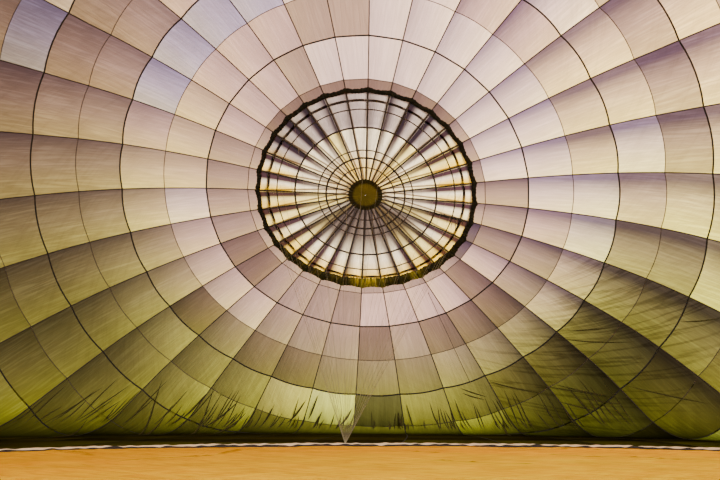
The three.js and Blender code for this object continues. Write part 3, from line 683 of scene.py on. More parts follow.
def webbing(name, colour, rib=0.004, fade=(1.4, 1.3, 1.2), low_shade=0.0):
    """Woven tape: fine ribs across, worn paler in patches, and with painted shade low down near the ground.
    """
    made, tree = material(name)
    at = place(tree)
    weave = woven(tree, at, rib)
    worn = math_of(tree, "SUBTRACT", mottled(tree, at, 0.5, 0.5), 0.9)
    layers = [(worn, fade)]
    if low_shade:
        # painted shade near the ground
        height = put(tree, "ShaderNodeSeparateXYZ", {0: at}).outputs[2]
        layers.append((ranged(tree, height, low_shade, 0.0, LOW_SHADE_FULL, LOW_SHADE_TOP), LOW_SHADE_TINT))
    surface(tree, dyed(tree, colour, layers), [weave["Shade"]], roughness=0.75, relief=weave["Height"],
            strength=0.4, depth=0.002)
    return made


load_webbing = webbing("load_tape_webbing", (0.036, 0.026, 0.022), low_shade=LOW_SHADE)
ring_webbing = webbing("ring_tape_webbing", (0.016, 0.014, 0.013), low_shade=LOW_SHADE)
seam_thread = webbing("felled_seam", (0.070, 0.050, 0.040), low_shade=LOW_SHADE)


def on_skin(m, phi):
    """Points of a tape that follows the envelope's inside at (m, phi), and the way it faces."""
    along = skin(m + NEAR, phi) - skin(m - NEAR, phi)
    across = skin(m, phi + NEAR_TURN) - skin(m, phi - NEAR_TURN)
    n = np.cross(across, along)
    n /= np.linalg.norm(n, axis=1, keepdims=True)
    points = skin(m, phi) - n * TAPE_SUNK
    points[:, 2] = np.maximum(points[:, 2], SKIN_CLEAR + TAPE_THICK)
    return points, n


tape_m = np.concatenate([np.arange(gore_length_at(R_VENT) + TAPE_SHORT, TAPE_FAR, TAPE_STEP),
                         np.arange(TAPE_FAR, GORE_END - TAPE_SHORT, TAPE_STEP_FAR), [GORE_END - TAPE_SHORT]])
paths, lays = zip(*[on_skin(tape_m, np.full_like(tape_m, FIRST_TAPE + k * STEP)) for k in range(GORES)])
load_tapes = lay_tapes("load_tapes", paths, lays, TAPE_WIDE, TAPE_THICK, load_webbing)
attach(load_tapes, "envelope")


def ring_path(m, inward):
    """One ring across all the gores, a little inside the cloth, and the way it faces."""
    points, normals = [], []
    u = np.linspace(0, 1, RING_STEPS, endpoint=False)
    for gore in range(GORES):
        grid_m, grid_u = np.meshgrid([m - NEAR, m, m + NEAR], np.append(u, 1.0), indexing="ij")
        p = gore_surface(gore, grid_m, grid_u)
        n = gore_normals(p)[1, :-1]
        out = swell(m) * free_of_tapes(u) - SHELL / 2 - inward
        q = p[1, :-1] + n * out[:, None]
        q[:, 2] = np.maximum(q[:, 2], SKIN_CLEAR + inward)
        points.append(q)
        normals.append(n)
    return np.concatenate(points), np.concatenate(normals)


for name, first, wide, thick, cloth in (("ring_tapes", PANEL, RING_WIDE, RING_THICK, ring_webbing),
                                        ("ring_seams", 0.0, SEAM_WIDE, SEAM_THICK, seam_thread)):
    paths, lays = zip(*[ring_path(m, thick) for m in np.arange(first, HEM_M - RING_SHORT, 2 * PANEL)])
    made = lay_tapes(name, paths, lays, wide, thick, cloth, closed=True)
    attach(made, "envelope")


# Pinched folds
# Where the slack cloth near the ground is pulled, it doubles up in narrow pleats. Three layers of
# cloth let little light through, so each pleat shows as a dark line: a raised strip whose dark colour is
# painted shade.
FOLD_WIDE, FOLD_DEEP, FOLD_POINTS = 0.050, 0.040, 12
FOLD_STANDS = 0.9
# ends of the long pleats, as gore length in metres and angle in degrees
PULLED = [((4.72, 322.3), (5.86, 329.6)), ((4.73, 319.7), (6.77, 329.9)), ((4.77, 298.4), (6.04, 307.2)),
          ((5.91, 309.1), (7.40, 317.7)), ((7.59, 322.1), (9.79, 329.6)), ((7.60, 338.2), (8.64, 342.2)),
          ((4.67, 290.9), (5.34, 296.0)), ((4.89, 290.9), (5.43, 295.3)), ((6.07, 311.1), (7.50, 318.5)),
          ((6.93, 313.3), (7.91, 318.9)), ((6.69, 309.4), (7.69, 314.6))]
HANGING = [((6.80, 221.0), (10.20, 229.5)), ((7.70, 226.3), (10.20, 229.5)), ((5.94, 231.2), (10.03, 238.2)),
           ((6.31, 230.5), (7.66, 229.4)), ((6.03, 237.6), (7.67, 234.6)), ((6.32, 240.4), (8.09, 238.4)),
           ((5.76, 245.3), (6.64, 245.0)), ((5.06, 252.3), (6.36, 249.8)), ((4.75, 254.9), (5.93, 254.1)),
           ((5.44, 256.7), (6.40, 256.1)), ((5.11, 263.7), (6.27, 260.8)), ((5.26, 274.6), (6.18, 275.3)),
           ((6.35, 296.8), (8.28, 294.5)), ((9.41, 216.0), (13.20, 224.5))]
SHORT_FOLDS, SHORT_FROM, SHORT_TO = 110, 208.0, 318.0
# the gore length at which the wall meets the ground, by the angle away from straight down
DOWN = 270
AWAY, MEETS_GROUND = [0, 11, 22, 34, 45, 56, 66], [6.3, 6.4, 6.8, 7.5, 8.4, 10.0, 12.5]
SHORT_REACH, SHORT_LEAN, FOLD_BOW = (0.45, 1.3), (-0.6, 0.9), (-0.25, 0.25)

# the pleats' dark colour is painted shade
fold_shade_cloth, tree = material("pinched_fold_shade")
spot = place(tree)
shades = [mottled(tree, spot, 0.3, 0.3), woven(tree, spot, RIPSTOP_CELL)["Shade"]]
surface(tree, (0.060, 0.056, 0.020), shades, roughness=0.7, specular=0.04)


def fold_path(start, end, bow):
    """Points of one pleat between two places given as (m, degrees), bowed a little, and its facing."""
    share = np.linspace(0, 1, FOLD_POINTS)
    m = start[0] + (end[0] - start[0]) * share
    phi = np.radians(start[1] + (end[1] - start[1]) * share + bow * np.sin(share * math.pi))
    points, facing = on_skin(m, phi)
    swollen = swell(m) * free_of_tapes((phi / STEP - 0.5) % 1.0)
    return points + facing * swollen[:, None] * FOLD_STANDS, facing


rng = random.Random(21)
short = []
for _ in range(SHORT_FOLDS):
    at = rng.uniform(SHORT_FROM, SHORT_TO)
    lowest = float(np.interp(abs(at - DOWN), AWAY, MEETS_GROUND))
    reach = rng.uniform(*SHORT_REACH) * (1.0 + abs(at - DOWN) / 60)
    short.append(((lowest - reach, at + rng.uniform(*SHORT_LEAN) * reach), (lowest, at)))
for name, runs, size in (("pulled_folds", PULLED, 0.8), ("hanging_folds", HANGING, 1.3),
                         ("short_folds", short, 0.8)):
    paths, lays = zip(*[fold_path(start, end, rng.uniform(*FOLD_BOW)) for start, end in runs])
    made = lay_tapes(name, paths, lays, FOLD_WIDE * size, FOLD_DEEP * size, fold_shade_cloth, narrowing=True)
    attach(made, "envelope")


# Vent tapes and crown ring
# Across the open vent, 32 webbing tapes run from the rim up to an aluminium ring, which holds the
# crown line.
vent_webbing = webbing("vent_tape_webbing", (0.020, 0.017, 0.015))
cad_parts["vent_tapes"].material_slots[0].material = vent_webbing


def brushed_metal(name, colour, roughness, grain):
    """Turned metal, brushed along the part, with darker handled patches."""
    made, tree = material(name)
    at = place(tree)
    brushed = creased(tree, at, grain, grain / 12, 6.0)["Height"]
    surface(tree, colour, [mottled(tree, at, 0.05, 0.35)], metallic=1.0,
            roughness=ranged(tree, brushed, roughness - 0.08, roughness + 0.12))
    return made


crown_aluminium = brushed_metal("crown_ring_aluminium", (0.60, 0.61, 0.62), 0.34, 260.0)
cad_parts["crown_ring"].material_slots[0].material = crown_aluminium


# Parachute valve
# A 32-sided panel of the same cloth closes the vent from inside, its seams radial, with ring
# tapes sewn round it. Air pressure swells every sector outward.
PARACHUTE_R, PARACHUTE_DROP, PARACHUTE_RISE = 3.88, 0.060, 0.17
SECTOR_SWELL, FLAT_EDGE = 0.050, 0.4
RIM_R = 3.65
PARACHUTE_LOTS = {"white": (1.0, 0.79, 0.50), "cream": (1.0, 0.76, 0.25), "mauve": (0.56, 0.41, 0.34)}
# the outer panels overhead are of the mauve lot
MAUVE_SECTORS, MAUVE_FROM = range(3, 13), 0.70
# painted shade on the lower half of the dome: how dark it is, from its middle to its rim, as shares of the
# rim's radius
DIM_AT, DIM_DEPTH = [0.0, 0.2, 0.5, 0.64, 0.76, 1.0], [0.70, 0.93, 0.90, 0.50, 0.08, 0.0]
# the vent tapes bear on the cloth from outside, and their shadows run to a point above its middle
SHADOW_OFF, SHADOW_TOWARD, SHADOW_WIDE = 0.24, math.radians(75), 0.020
SHADOW_INNER = 0.4
# where each tone begins and is full: by the sine of the angle, the share of the rim's radius, and radius
BELOW, ABOVE, WARM_UP = (-0.1, -0.6), (0.35, 0.65), (-0.3, 0.7)
RIMWARD, WARM_RIM, WARM_MIDDLE = (0.70, 0.73), (0.78, 0.98), (0.5, 0.3)
OUTER = (0.9, 2.5)
SECTOR_COLS, DOME_ROWS, DOME_INNER, DOME_UV = 10, 44, 0.02, 0.08
vent_s = float(np.interp(gore_length_at(R_VENT), GORE_M, GORE_S))
CROWN_AT = np.array([0, np.interp(vent_s, AXIS_S, AXIS_Y), np.interp(vent_s, AXIS_S, AXIS_Z)])
CROWN_DOWN = np.array([0, math.sin(CROWN_TILT), -math.cos(CROWN_TILT)])
CROWN_OUT = np.array([0, math.cos(CROWN_TILT), math.sin(CROWN_TILT)])


def crown_point(r, phi, z):
    """Points in the crown's own frame: radius, angle and height outward along its axis."""
    r, phi, z = np.broadcast_arrays(np.asarray(r, float), phi, z)
    right = np.array([1.0, 0, 0])
    across = (r * np.cos(phi))[..., None] * right - (r * rise(phi))[..., None] * CROWN_DOWN
    return CROWN_AT + across + z[..., None] * CROWN_OUT


def dome(r):
    """Height of the parachute's cloth at radius r."""
    return -PARACHUTE_DROP + PARACHUTE_RISE * np.clip(1 - r / PARACHUTE_R, 0, 1) ** 0.9


def sector_share(phi):
    """How far across its sector an angle lies, from 0 at one seam to 1 at the next."""
    return ((phi - FIRST_TAPE) / STEP) % 1.0


def sector_swell(r, phi):
    """How far the cloth between two seams stands out. Under the edge band it lies flat."""
    u = sector_share(phi)
    return 4 * u * (1 - u) * SECTOR_SWELL * r / PARACHUTE_R * ramp(r, PARACHUTE_R, PARACHUTE_R - FLAT_EDGE)


def dome_tones(r, phi):
    """The values that the parachute's material reads, by name: painted light and shade, as if lit from below
    and from the sides.
    """
    side = -(2 * sector_share(phi) - 1) * np.clip(1.6 * np.cos(phi), -1, 1)
    share, up = r / RIM_R, np.sin(phi)
    below, above = ramp(up, *BELOW), ramp(up, *ABOVE)
    rimward, outer = ramp(share, *RIMWARD), ramp(r, *OUTER)
    lit = np.clip(side * 1.3, 0, 1)
    toward_ground = np.clip(1.2 - abs(up - 0.15) * 2, 0, 1) * (0.25 + 0.75 * rimward)
    warm_rim = 0.9 * below * ramp(share, *WARM_RIM)
    warm_middle = 0.60 * ramp(up, *WARM_UP) * ramp(share, *WARM_MIDDLE)
    return {
        "lit_edge": lit * outer,
        "shaded_edge": np.clip(0.10 - side * 2.3, 0, 1) * (0.45 + 0.55 * outer),
        "dim": np.maximum(np.interp(share, DIM_AT, DIM_DEPTH) * below, 0.35 * above * rimward),
        # painted warm light from below, on the rim, the middle and the lit edges
        "warm_light": np.maximum.reduce([warm_rim, warm_middle, lit * toward_ground]),
    }


parachute_cloth, tree = material("parachute_ripstop")
uv = cloth_uv(tree)
weave = woven(tree, uv, RIPSTOP_CELL)
fine = creased(tree, uv, 16.0, 3.0, 5.0)
spokes = put(tree, "ShaderNodeSeparateXYZ", {0: put(tree, "ShaderNodeUVMap", uv_map="spokes").outputs[0]})
apart = math_of(tree, "MULTIPLY", math_of(tree, "PINGPONG", spokes.outputs[0], 0.5), spokes.outputs[1])
shadow = ranged(tree, apart, 0.92, 0.0, SHADOW_WIDE / STEP, 2 * SHADOW_WIDE / STEP)
# the sector's lot colour under painted light and shade: lit and shaded edges, warm light from below, painted
# shade low down and overhead at the rim, the vent tapes' painted shadows, and painted shade along fine
# creases
colour = dyed(tree, value_of(tree, "lot", "Color"), [
    ("lit_edge", (1.10, 1.12, 0.90)), ("shaded_edge", (0.05, 0.022, 0.040)), ("warm_light", (1.0, 0.74, 0.02)),
    ("dim", (0.05, 0.024, 0.040)), (shadow, (0.22, 0.17, 0.13)),
    (math_of(tree, "MULTIPLY", fine["Line"], 0.5), (0.6, 0.56, 0.5))])
surface(tree, colour, [mottled(tree, place(tree), 0.4, 0.30), weave["Shade"]], specular=0.0,
        relief=fine["Height"], depth=0.03, through=0.88, holes=0.02)

around = np.arange(GORES * SECTOR_COLS) * STEP / SECTOR_COLS + FIRST_TAPE
r, phi = np.meshgrid(np.linspace(DOME_INNER, PARACHUTE_R, DOME_ROWS), around, indexing="ij")
points = crown_point(r, phi, dome(r) - SHELL / 2 + sector_swell(r, phi))
uv = np.stack([np.broadcast_to(np.arange(len(around)) * DOME_UV, r.shape), r], -1)
off = SHADOW_OFF / np.maximum(r, SHADOW_INNER) * (1 - r / PARACHUTE_R)
turned = phi + off * np.sin(phi - SHADOW_TOWARD)
spokes = np.stack([(turned - FIRST_TAPE) / STEP, r], -1)
mesh = grid_mesh("parachute", points, uv, closed=True, spokes=spokes)
for name, values in dome_tones(r, phi).items():
    point_value(mesh, name, values)
rng = random.Random(5)
sector_lots = [rng.choice(["white", "cream", "white"]) for _ in range(GORES)]
colours = []
for row_share in (r[:-1, 0] + r[1:, 0]) / 2 / RIM_R:
    mauve = MAUVE_SECTORS if row_share > MAUVE_FROM else ()
    lots = ["mauve" if sector in mauve else sector_lots[sector] for sector in range(GORES)]
    colours += [PARACHUTE_LOTS[lot] for lot in lots for _ in range(SECTOR_COLS)]
face_colour(mesh, "lot", colours)
parachute = in_scene("parachute_cloth", mesh, parachute_cloth)
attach(parachute, "parachute")
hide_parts("parachute_panel")

# its seams and ring tapes lie on the inner face
PARACHUTE_RINGS = {"parachute_ring_tape": (0.064, [0.70, 0.39]),
                   "parachute_ring_seams": (0.042, [0.88, 0.47, 0.29])}
TRIM_THICK, RING_INWARD, SPOKE_INWARD, SPOKE_WIDE = 0.003, 0.006, 0.004, 0.056
SEAM_INNER, SEAM_SHORT, SEAM_POINTS = 0.50, 0.04, 24
SEAM_R = np.linspace(SEAM_INNER, PARACHUTE_R - SEAM_SHORT, SEAM_POINTS)
INWARD = -CROWN_OUT
for name, (wide, shares) in PARACHUTE_RINGS.items():
    rings = []
    for share in shares:
        ring_r = np.full_like(around, share * RIM_R)
        out = dome(ring_r) - SHELL / 2 - RING_INWARD + sector_swell(ring_r, around)
        rings.append(crown_point(ring_r, around, out))
    made = lay_tapes(name, rings, [INWARD] * len(rings), wide, TRIM_THICK, load_webbing, closed=True)
    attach(made, "parachute")
spoke_out = dome(SEAM_R) - SHELL / 2 - SPOKE_INWARD
spokes = [crown_point(SEAM_R, FIRST_TAPE + k * STEP, spoke_out) for k in range(GORES)]
parachute_seams = lay_tapes("parachute_seams", spokes, [INWARD] * GORES, SPOKE_WIDE, TRIM_THICK, load_webbing)
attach(parachute_seams, "parachute")


# Edge band
# A gathered strip of dark cloth seals the parachute's edge against the vent. Its slack ruffles are
# deepest at the bottom, where the green and yellow light that comes through them is painted on.
BAND_ROWS, BAND_STEPS = 7, 24
BAND_INNER, BAND_OUTER, BAND_LOW = RIM_R + 0.18, RIM_R + 0.37, 0.22
BAND_WAVES = (61, 97, 128, 173, 211)
BAND_STANDS = 0.012
# where light through the band is painted: angle in degrees, half width and strength
GLOW_ARCS = ((268, 11, 1.0), (296, 5, 0.8))


def uneven_waves(at, counts, least, seed):
    """Waves of several lengths along a gathered edge, each of its own height and place."""
    rng = np.random.default_rng(seed)
    return sum(rng.uniform(least, 1.0) * np.sin(at * n + rng.uniform(0, 6.28)) for n in counts) / 3


band_cloth, tree = material("edge_band_cloth")
ruffles = creased(tree, cloth_uv(tree), 9.0, 1.0, 7.0)
# painted light through the band, bright yellow on the dark cloth, as its mask says; painted shade along the
# ruffles
colour = tinted(tree, value_of(tree, "thin"), (0.020, 0.022, 0.014), (1.0, 0.95, 0.02), blend="MIX")
colour = tinted(tree, ruffles["Line"], colour, (0.25, 0.3, 0.15))
surface(tree, colour, roughness=0.7, relief=ruffles["Height"], strength=0.6, through=0.55)

band_cols = GORES * BAND_STEPS
turn = np.arange(band_cols) * 2 * math.pi / band_cols + FIRST_TAPE
low = np.clip(-np.sin(turn), 0, 1) ** 2
waves = uneven_waves(turn, BAND_WAVES, 0.5, 11)
scallop = np.abs(np.sin((turn - FIRST_TAPE) / STEP * math.pi))
inner_r = BAND_INNER - BAND_LOW * low + (0.015 + 0.02 * low) * waves - 0.04 * scallop
outer_r = BAND_OUTER + 0.02 * low + 0.02 * np.roll(waves, 17) - 0.07 * scallop
share, turn_grid = np.meshgrid(np.linspace(0, 1, BAND_ROWS), turn, indexing="ij")
r = inner_r * (1 - share) + outer_r * share
ruffle_depth = (0.010 + 0.030 * low) * (1 + waves) * np.sin(share * math.pi)
points = crown_point(r, turn_grid, dome(r) - SHELL - BAND_STANDS - ruffle_depth)
uv = np.stack([turn_grid * RIM_R, r], -1)
mesh = grid_mesh("edge_band", points, uv - uv[0, 0], closed=True)
bottom = np.degrees(turn) % 360
glow_arc = sum(strong * np.clip(1 - abs(bottom - at) / wide, 0, 1) for at, wide, strong in GLOW_ARCS)
leaf = np.clip(0.5 + 0.5 * np.roll(waves, 40), 0, 1)
# the mask of painted light through the band
point_value(mesh, "thin", np.broadcast_to(np.clip(glow_arc * leaf + 0.10 * low * leaf, 0, 1), r.shape))
edge_band = in_scene("parachute_ruffled_band", mesh, band_cloth)
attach(edge_band, "parachute")
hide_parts("parachute_edge_band")


# Torn seam tape
# Near the right-hand rim one seam's binding tape has come loose. It is ruffled, and frayed strands
# hang from it.
TORN_AT, TORN_FROM, TORN_TO = FIRST_TAPE + 30 * STEP, 0.72 * RIM_R, 0.99 * RIM_R
TORN_WIDE, STRAND_WIDE = 0.075, 0.022
TORN_POINTS, STRAND_POINTS = 46, 9
TORN_STANDS, STRAND_STANDS = 0.016, 0.02
# the point of the tape from which each strand hangs, and how far down it reaches
STRANDS = ((20, 0.16), (27, 0.34), (31, 0.42), (35, 0.24), (40, 0.30), (43, 0.20))

rng = np.random.default_rng(17)
torn_r = np.linspace(TORN_FROM, TORN_TO, TORN_POINTS)
torn_phi = TORN_AT + rng.uniform(-0.025, 0.025, TORN_POINTS) / torn_r * 1.6
torn_out = dome(torn_r) - SHELL / 2 - TORN_STANDS + rng.uniform(-0.008, 0.004, TORN_POINTS)
torn_tape = crown_point(torn_r, torn_phi, torn_out)
strands = []
for start, drop in STRANDS:
    fall = np.linspace(0, 1, STRAND_POINTS)
    hung = np.repeat(torn_tape[start][None, :], len(fall), axis=0)
    hung[:, 2] -= drop * fall
    hung[:, 0] += 0.05 * np.sin(fall * 4 + start) * fall
    hung += INWARD * STRAND_STANDS + INWARD * CROWN_DOWN[1] * drop * 0.9 * fall[:, None]
    strands.append(hung)
for name, runs, wide in (("torn_seam_tape", [torn_tape], TORN_WIDE), ("torn_strands", strands, STRAND_WIDE)):
    made = lay_tapes(name, runs, [INWARD] * len(runs), wide, TAPE_THICK, vent_webbing,
                     narrowing=len(runs) > 1)
    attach(made, "parachute")


# Centre patch
# A round patch of olive cloth covers the meeting of the parachute's seams, puckered toward a small
# eyelet at its middle.
PATCH_R, EYELET_R, PATCH_ROWS = 0.62, 0.012, 14
PATCH_RIM = (0.40, 0.48)
PATCH_PLEAT, PATCH_OFF = 0.010, 0.014
patch_cloth, tree = material("centre_patch_cloth")
pucker = creased(tree, cloth_uv(tree), 14.0, 1.5, 5.0)
# painted shade along the puckers' lines
colour = dyed(tree, (0.22, 0.20, 0.012), [
    ("rim", (0.14, 0.14, 0.10)), (math_of(tree, "MULTIPLY", pucker["Line"], 0.6), (0.5, 0.45, 0.3))])
surface(tree, colour, [mottled(tree, place(tree), 0.25, 0.4)], roughness=0.65, relief=pucker["Height"],
        strength=0.6, through=0.5)

patch_turn = np.arange(GORES * 4) * STEP / 4 + FIRST_TAPE
r, phi = np.meshgrid(np.linspace(EYELET_R, PATCH_R, PATCH_ROWS), patch_turn, indexing="ij")
pleat = PATCH_PLEAT * np.cos((phi - FIRST_TAPE) / STEP * 2 * math.pi) * r / PATCH_R
points = crown_point(r, phi, dome(r) - SHELL - PATCH_OFF - pleat)
mesh = grid_mesh("patch", points, np.stack([(phi - phi[0, 0]) * 0.5, r], -1), closed=True)
point_value(mesh, "rim", ramp(r, *PATCH_RIM))
patch = in_scene("parachute_patch", mesh, patch_cloth)
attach(patch, "parachute")
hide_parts("parachute_centre_patch")


# Parachute lines
# Thin braided lines run taut from the parachute's edge to one steel ring on the floor, where they
# are pulled together. One darker line runs from the rim down to a ring tape.
LINE_R, LINE_DROP, LINE_TUBE, CONTROL_TUBE = 3.60, 0.03, 0.0030, 0.009
COLLECTOR = np.array([0.037, 10.590, 0.034])
CONTROL_FROM, CONTROL_TO = (0.45, 296.5), (4.55, 294.0)
CONTROL_STANDS, EYE_BACK = 0.05, 0.022
EYE_R, EYE_TUBE, EYE_POINTS = 0.032, 0.005, 20


def round_section(tree, curve, given):
    """A round, smooth line."""
    ring = put(tree, "GeometryNodeCurvePrimitiveCircle",
               {"Resolution": given["Sides"], "Radius": given["Radius"]})
    swept = put(tree, "GeometryNodeCurveToMesh",
                {"Curve": curve, "Profile Curve": ring.outputs[0], "Fill Caps": True})
    return put(tree, "GeometryNodeSetShadeSmooth", {0: swept.outputs[0]})


LINE_TREE = path_tree("line along a path", [("Radius", "Float"), ("Sides", "Int")], round_section)


def run_lines(name, paths, radius, sides, stuff, closed=False):
    """Round lines along the paths, as one piece."""
    sizes = {"Radius": radius, "Sides": sides, "Material": stuff}
    return plain_mesh(name, paths, np.zeros((len(paths), 3)), LINE_TREE, sizes, closed)


def braid(name, colour, twist):
    """Braided line: slanting strands, with painted shade between them."""
    made, tree = material(name)
    strands = creased(tree, place(tree), twist, twist / 4, 3.0, turn=0.8)
    # painted shade between the strands
    surface(tree, tinted(tree, strands["Line"], colour, (0.7, 0.68, 0.64)), relief=strands["Height"],
            strength=0.4, depth=0.001)
    return made


def unit(vector):
    """The vector's direction."""
    return vector / np.linalg.norm(vector)


white_braid = braid("white_line_braid", (0.34, 0.32, 0.20), 300.0)
dark_braid = braid("dark_line_braid", (0.03, 0.025, 0.02), 200.0)
share = np.linspace(0, 1, 13)[:, None]
tops = [crown_point(LINE_R, FIRST_TAPE + k * STEP, dome(LINE_R) - LINE_DROP) for k in range(GORES)]
lines = [COLLECTOR * (1 - share) + top * share for top in tops]
parachute_lines = run_lines("parachute_lines", lines, LINE_TUBE, 5, white_braid)
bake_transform(parachute_lines)

ends = [skin(m, math.radians(a)) for m, a in (CONTROL_FROM, CONTROL_TO)]
inward = unit(COLLECTOR - (ends[0] + ends[1]) / 2)
ends = [end + inward * CONTROL_STANDS for end in ends]
control_path = ends[0] * (1 - share) + ends[1] * share
control_line = run_lines("control_line", [control_path], CONTROL_TUBE, 8, dark_braid)
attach(control_line, "envelope")


def small_ring(middle, radius, one_way, other_way):
    """The path round a small ring that lies in the plane of two directions."""
    turn = (np.arange(EYE_POINTS) * 2 * math.pi / EYE_POINTS)[:, None]
    return middle + radius * (np.cos(turn) * one_way + np.sin(turn) * other_way)


eyes = [small_ring(end - inward * EYE_BACK, EYE_R, inward, unit(ends[1] - ends[0])) for end in ends]
line_steel = brushed_metal("line_ring_steel", (0.52, 0.51, 0.50), 0.30, 400.0)
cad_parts["line_ring"].material_slots[0].material = line_steel
line_eyes = run_lines("control_line_eyes", eyes, EYE_TUBE, 8, line_steel, closed=True)
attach(line_eyes, "envelope")


# Ground cloth
# A big sheet of yellow woven cloth keeps the envelope's floor clean. It lies loose, with a few
# trodden creases and a pale hem along its far side; a dark strip just short of the hem is a painted shadow
# under the curled edge.
CLOTH_ARC = {"x": 3.2, "y": -6.010, "r": 16.0}
CLOTH_LEFT, CLOTH_RIGHT, CLOTH_NEAR = 10.0, 12.0, -17.0
CLOTH_TOP, CLOTH_WAVES, WAVE_HIGH = 0.0145, 26, 0.0016
CLOTH_HIGHEST, CLOTH_COLS, CLOTH_ROWS = 0.06, 140, 170
CLOTH_UV_X, CLOTH_UV_Y = 12, 18
# the far edge stands up a little and is jagged
EDGE_FROM, EDGE_HIGH, EDGE_JAGGED, JAG_WAVES = 0.985, 0.016, 0.03, (3.1, 7.3, 12.7, 19.1)
# where the cloth is sunlit: it begins and is full at these places
SUNLIT_Y, SUNLIT_X, SUNLIT_LEAST = (8.2, 4.7), (-6, 3), 0.1
STRIP_BASE, STRIP_SHORT, STRIP_WAVY = 0.012, 0.05, 0.012
STRIP_ROWS, STRIP_COLS, STRIP_WAVES = 4, 420, (2.3, 5.1, 9.7, 15.3, 23.0)
# creases: start, end, width and height, in metres
CREASES = [((-1.2, 9.6), (-3.4, 3.0), 0.045, 0.035), ((4.6, 9.3), (7.4, 8.6), 0.05, 0.03),
           ((5.6, 6.6), (8.4, 5.2), 0.06, 0.035), ((1.6, 7.6), (3.6, 6.9), 0.05, 0.02),
           ((-7.2, 6.8), (-5.0, 5.0), 0.06, 0.03), ((2.4, 4.4), (4.9, 3.4), 0.05, 0.03)]
cloth_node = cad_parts["floor_cloth"]
corners = np.array([cloth_node.matrix_world @ v.co for v in cloth_node.data.vertices])


def arc_y(x):
    """The far edge of the cloth at x."""
    return CLOTH_ARC["y"] + np.sqrt(CLOTH_ARC["r"] ** 2 - (x - CLOTH_ARC["x"]) ** 2)


def cloth_side(sign):
    """The cloth's left or right edge, from near to far, as y and x."""
    chosen = corners[corners[:, 0] * sign > 0]
    ys = np.unique(np.round(chosen[:, 1], 3))
    reach = [np.max(np.abs(chosen[np.abs(chosen[:, 1] - y) < 0.002, 0])) for y in ys]
    far_corner = CLOTH_RIGHT if sign > 0 else CLOTH_LEFT
    keep = ys <= arc_y(far_corner * sign) + 0.01
    return ys[keep], np.array(reach)[keep] * sign


cloth_stuff, tree = material("ground_cloth_weave")
uv = cloth_uv(tree)
rumple = creased(tree, uv, 2.2, 0.4, 7.0, turn=0.6)
trodden = creased(tree, uv, 3.5, 0.5, 14.0, turn=-1.1)
# yellow cloth, painted lighter where sunlit, with painted shade along its creases, rumples and trodden lines
colour = tinted(tree, value_of(tree, "sunlit"), (1.0, 0.58, 0.0), (1.0, 0.74, 0.0), blend="MIX")
colour = dyed(tree, colour, [
    (math_of(tree, "MULTIPLY", rumple["Line"], 0.35), (0.85, 0.62, 0.4)),
    (math_of(tree, "MULTIPLY", trodden["Line"], 0.5), (0.7, 0.45, 0.3)), ("crease", (0.12, 0.07, 0.04))])
relief = math_of(tree, "MULTIPLY_ADD", trodden["Height"], 0.5, rumple["Height"])
surface(tree, colour, [mottled(tree, place(tree), 1.6, 0.22), woven(tree, uv, 0.010)["Shade"]],
        roughness=0.8, specular=0.0, relief=relief, strength=0.8, depth=0.06)

v, u = np.meshgrid(np.linspace(0, 1, CLOTH_ROWS), np.linspace(0, 1, CLOTH_COLS), indexing="ij")
far_x = -CLOTH_LEFT + (CLOTH_RIGHT + CLOTH_LEFT) * u
y = CLOTH_NEAR + (arc_y(far_x) - CLOTH_NEAR) * v
x = (1 - u) * np.interp(y, *cloth_side(-1)) + u * np.interp(y, *cloth_side(1))
height = np.zeros_like(x)
dark = np.zeros_like(x)
for (ax, ay), (bx, by), wide, high in CREASES:
    run = np.array([bx - ax, by - ay])
    t = np.clip(((x - ax) * run[0] + (y - ay) * run[1]) / (run @ run), 0, 1)
    wander = 0.12 * np.sin(t * 9 + ax)
    distance = np.hypot(x - ax - t * run[0] - wander * run[1] / 3, y - ay - t * run[1] + wander * run[0] / 3)
    ridge = np.exp(-(distance / wide) ** 2) * np.sin(np.clip(t, 0.02, 0.98) * math.pi) ** 0.5
    height += high * ridge
    # painted shade along each crease
    dark = np.maximum(dark, np.exp(-(distance / (wide * 0.8)) ** 2) * (t > 0.01) * (t < 0.99))
rng = np.random.default_rng(8)
for _ in range(CLOTH_WAVES):
    wave = rng.normal(0, 1.1, 2)
    height += WAVE_HIGH * np.sin(x * wave[0] + y * wave[1] + rng.uniform(0, 6.28))
edge_lift = ramp(v, EDGE_FROM, 1.0)
jag = sum(np.sin(x * n + n) for n in JAG_WAVES) / len(JAG_WAVES)
height += EDGE_HIGH * edge_lift * (1 + 0.8 * jag)
z = CLOTH_TOP + np.clip(height, 0.0, CLOTH_HIGHEST)
points = np.stack([x, y + EDGE_JAGGED * edge_lift * jag, z], -1)
mesh = grid_mesh("ground_cloth", points, np.stack([x + CLOTH_UV_X, y + CLOTH_UV_Y], -1))
point_value(mesh, "crease", dark * 0.8)
point_value(mesh, "sunlit", ramp(y, *SUNLIT_Y) * np.maximum(ramp(x, *SUNLIT_X), SUNLIT_LEAST))
ground_cloth = in_scene("ground_cloth", mesh, cloth_stuff)
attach(ground_cloth, "envelope")
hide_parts("floor_cloth")


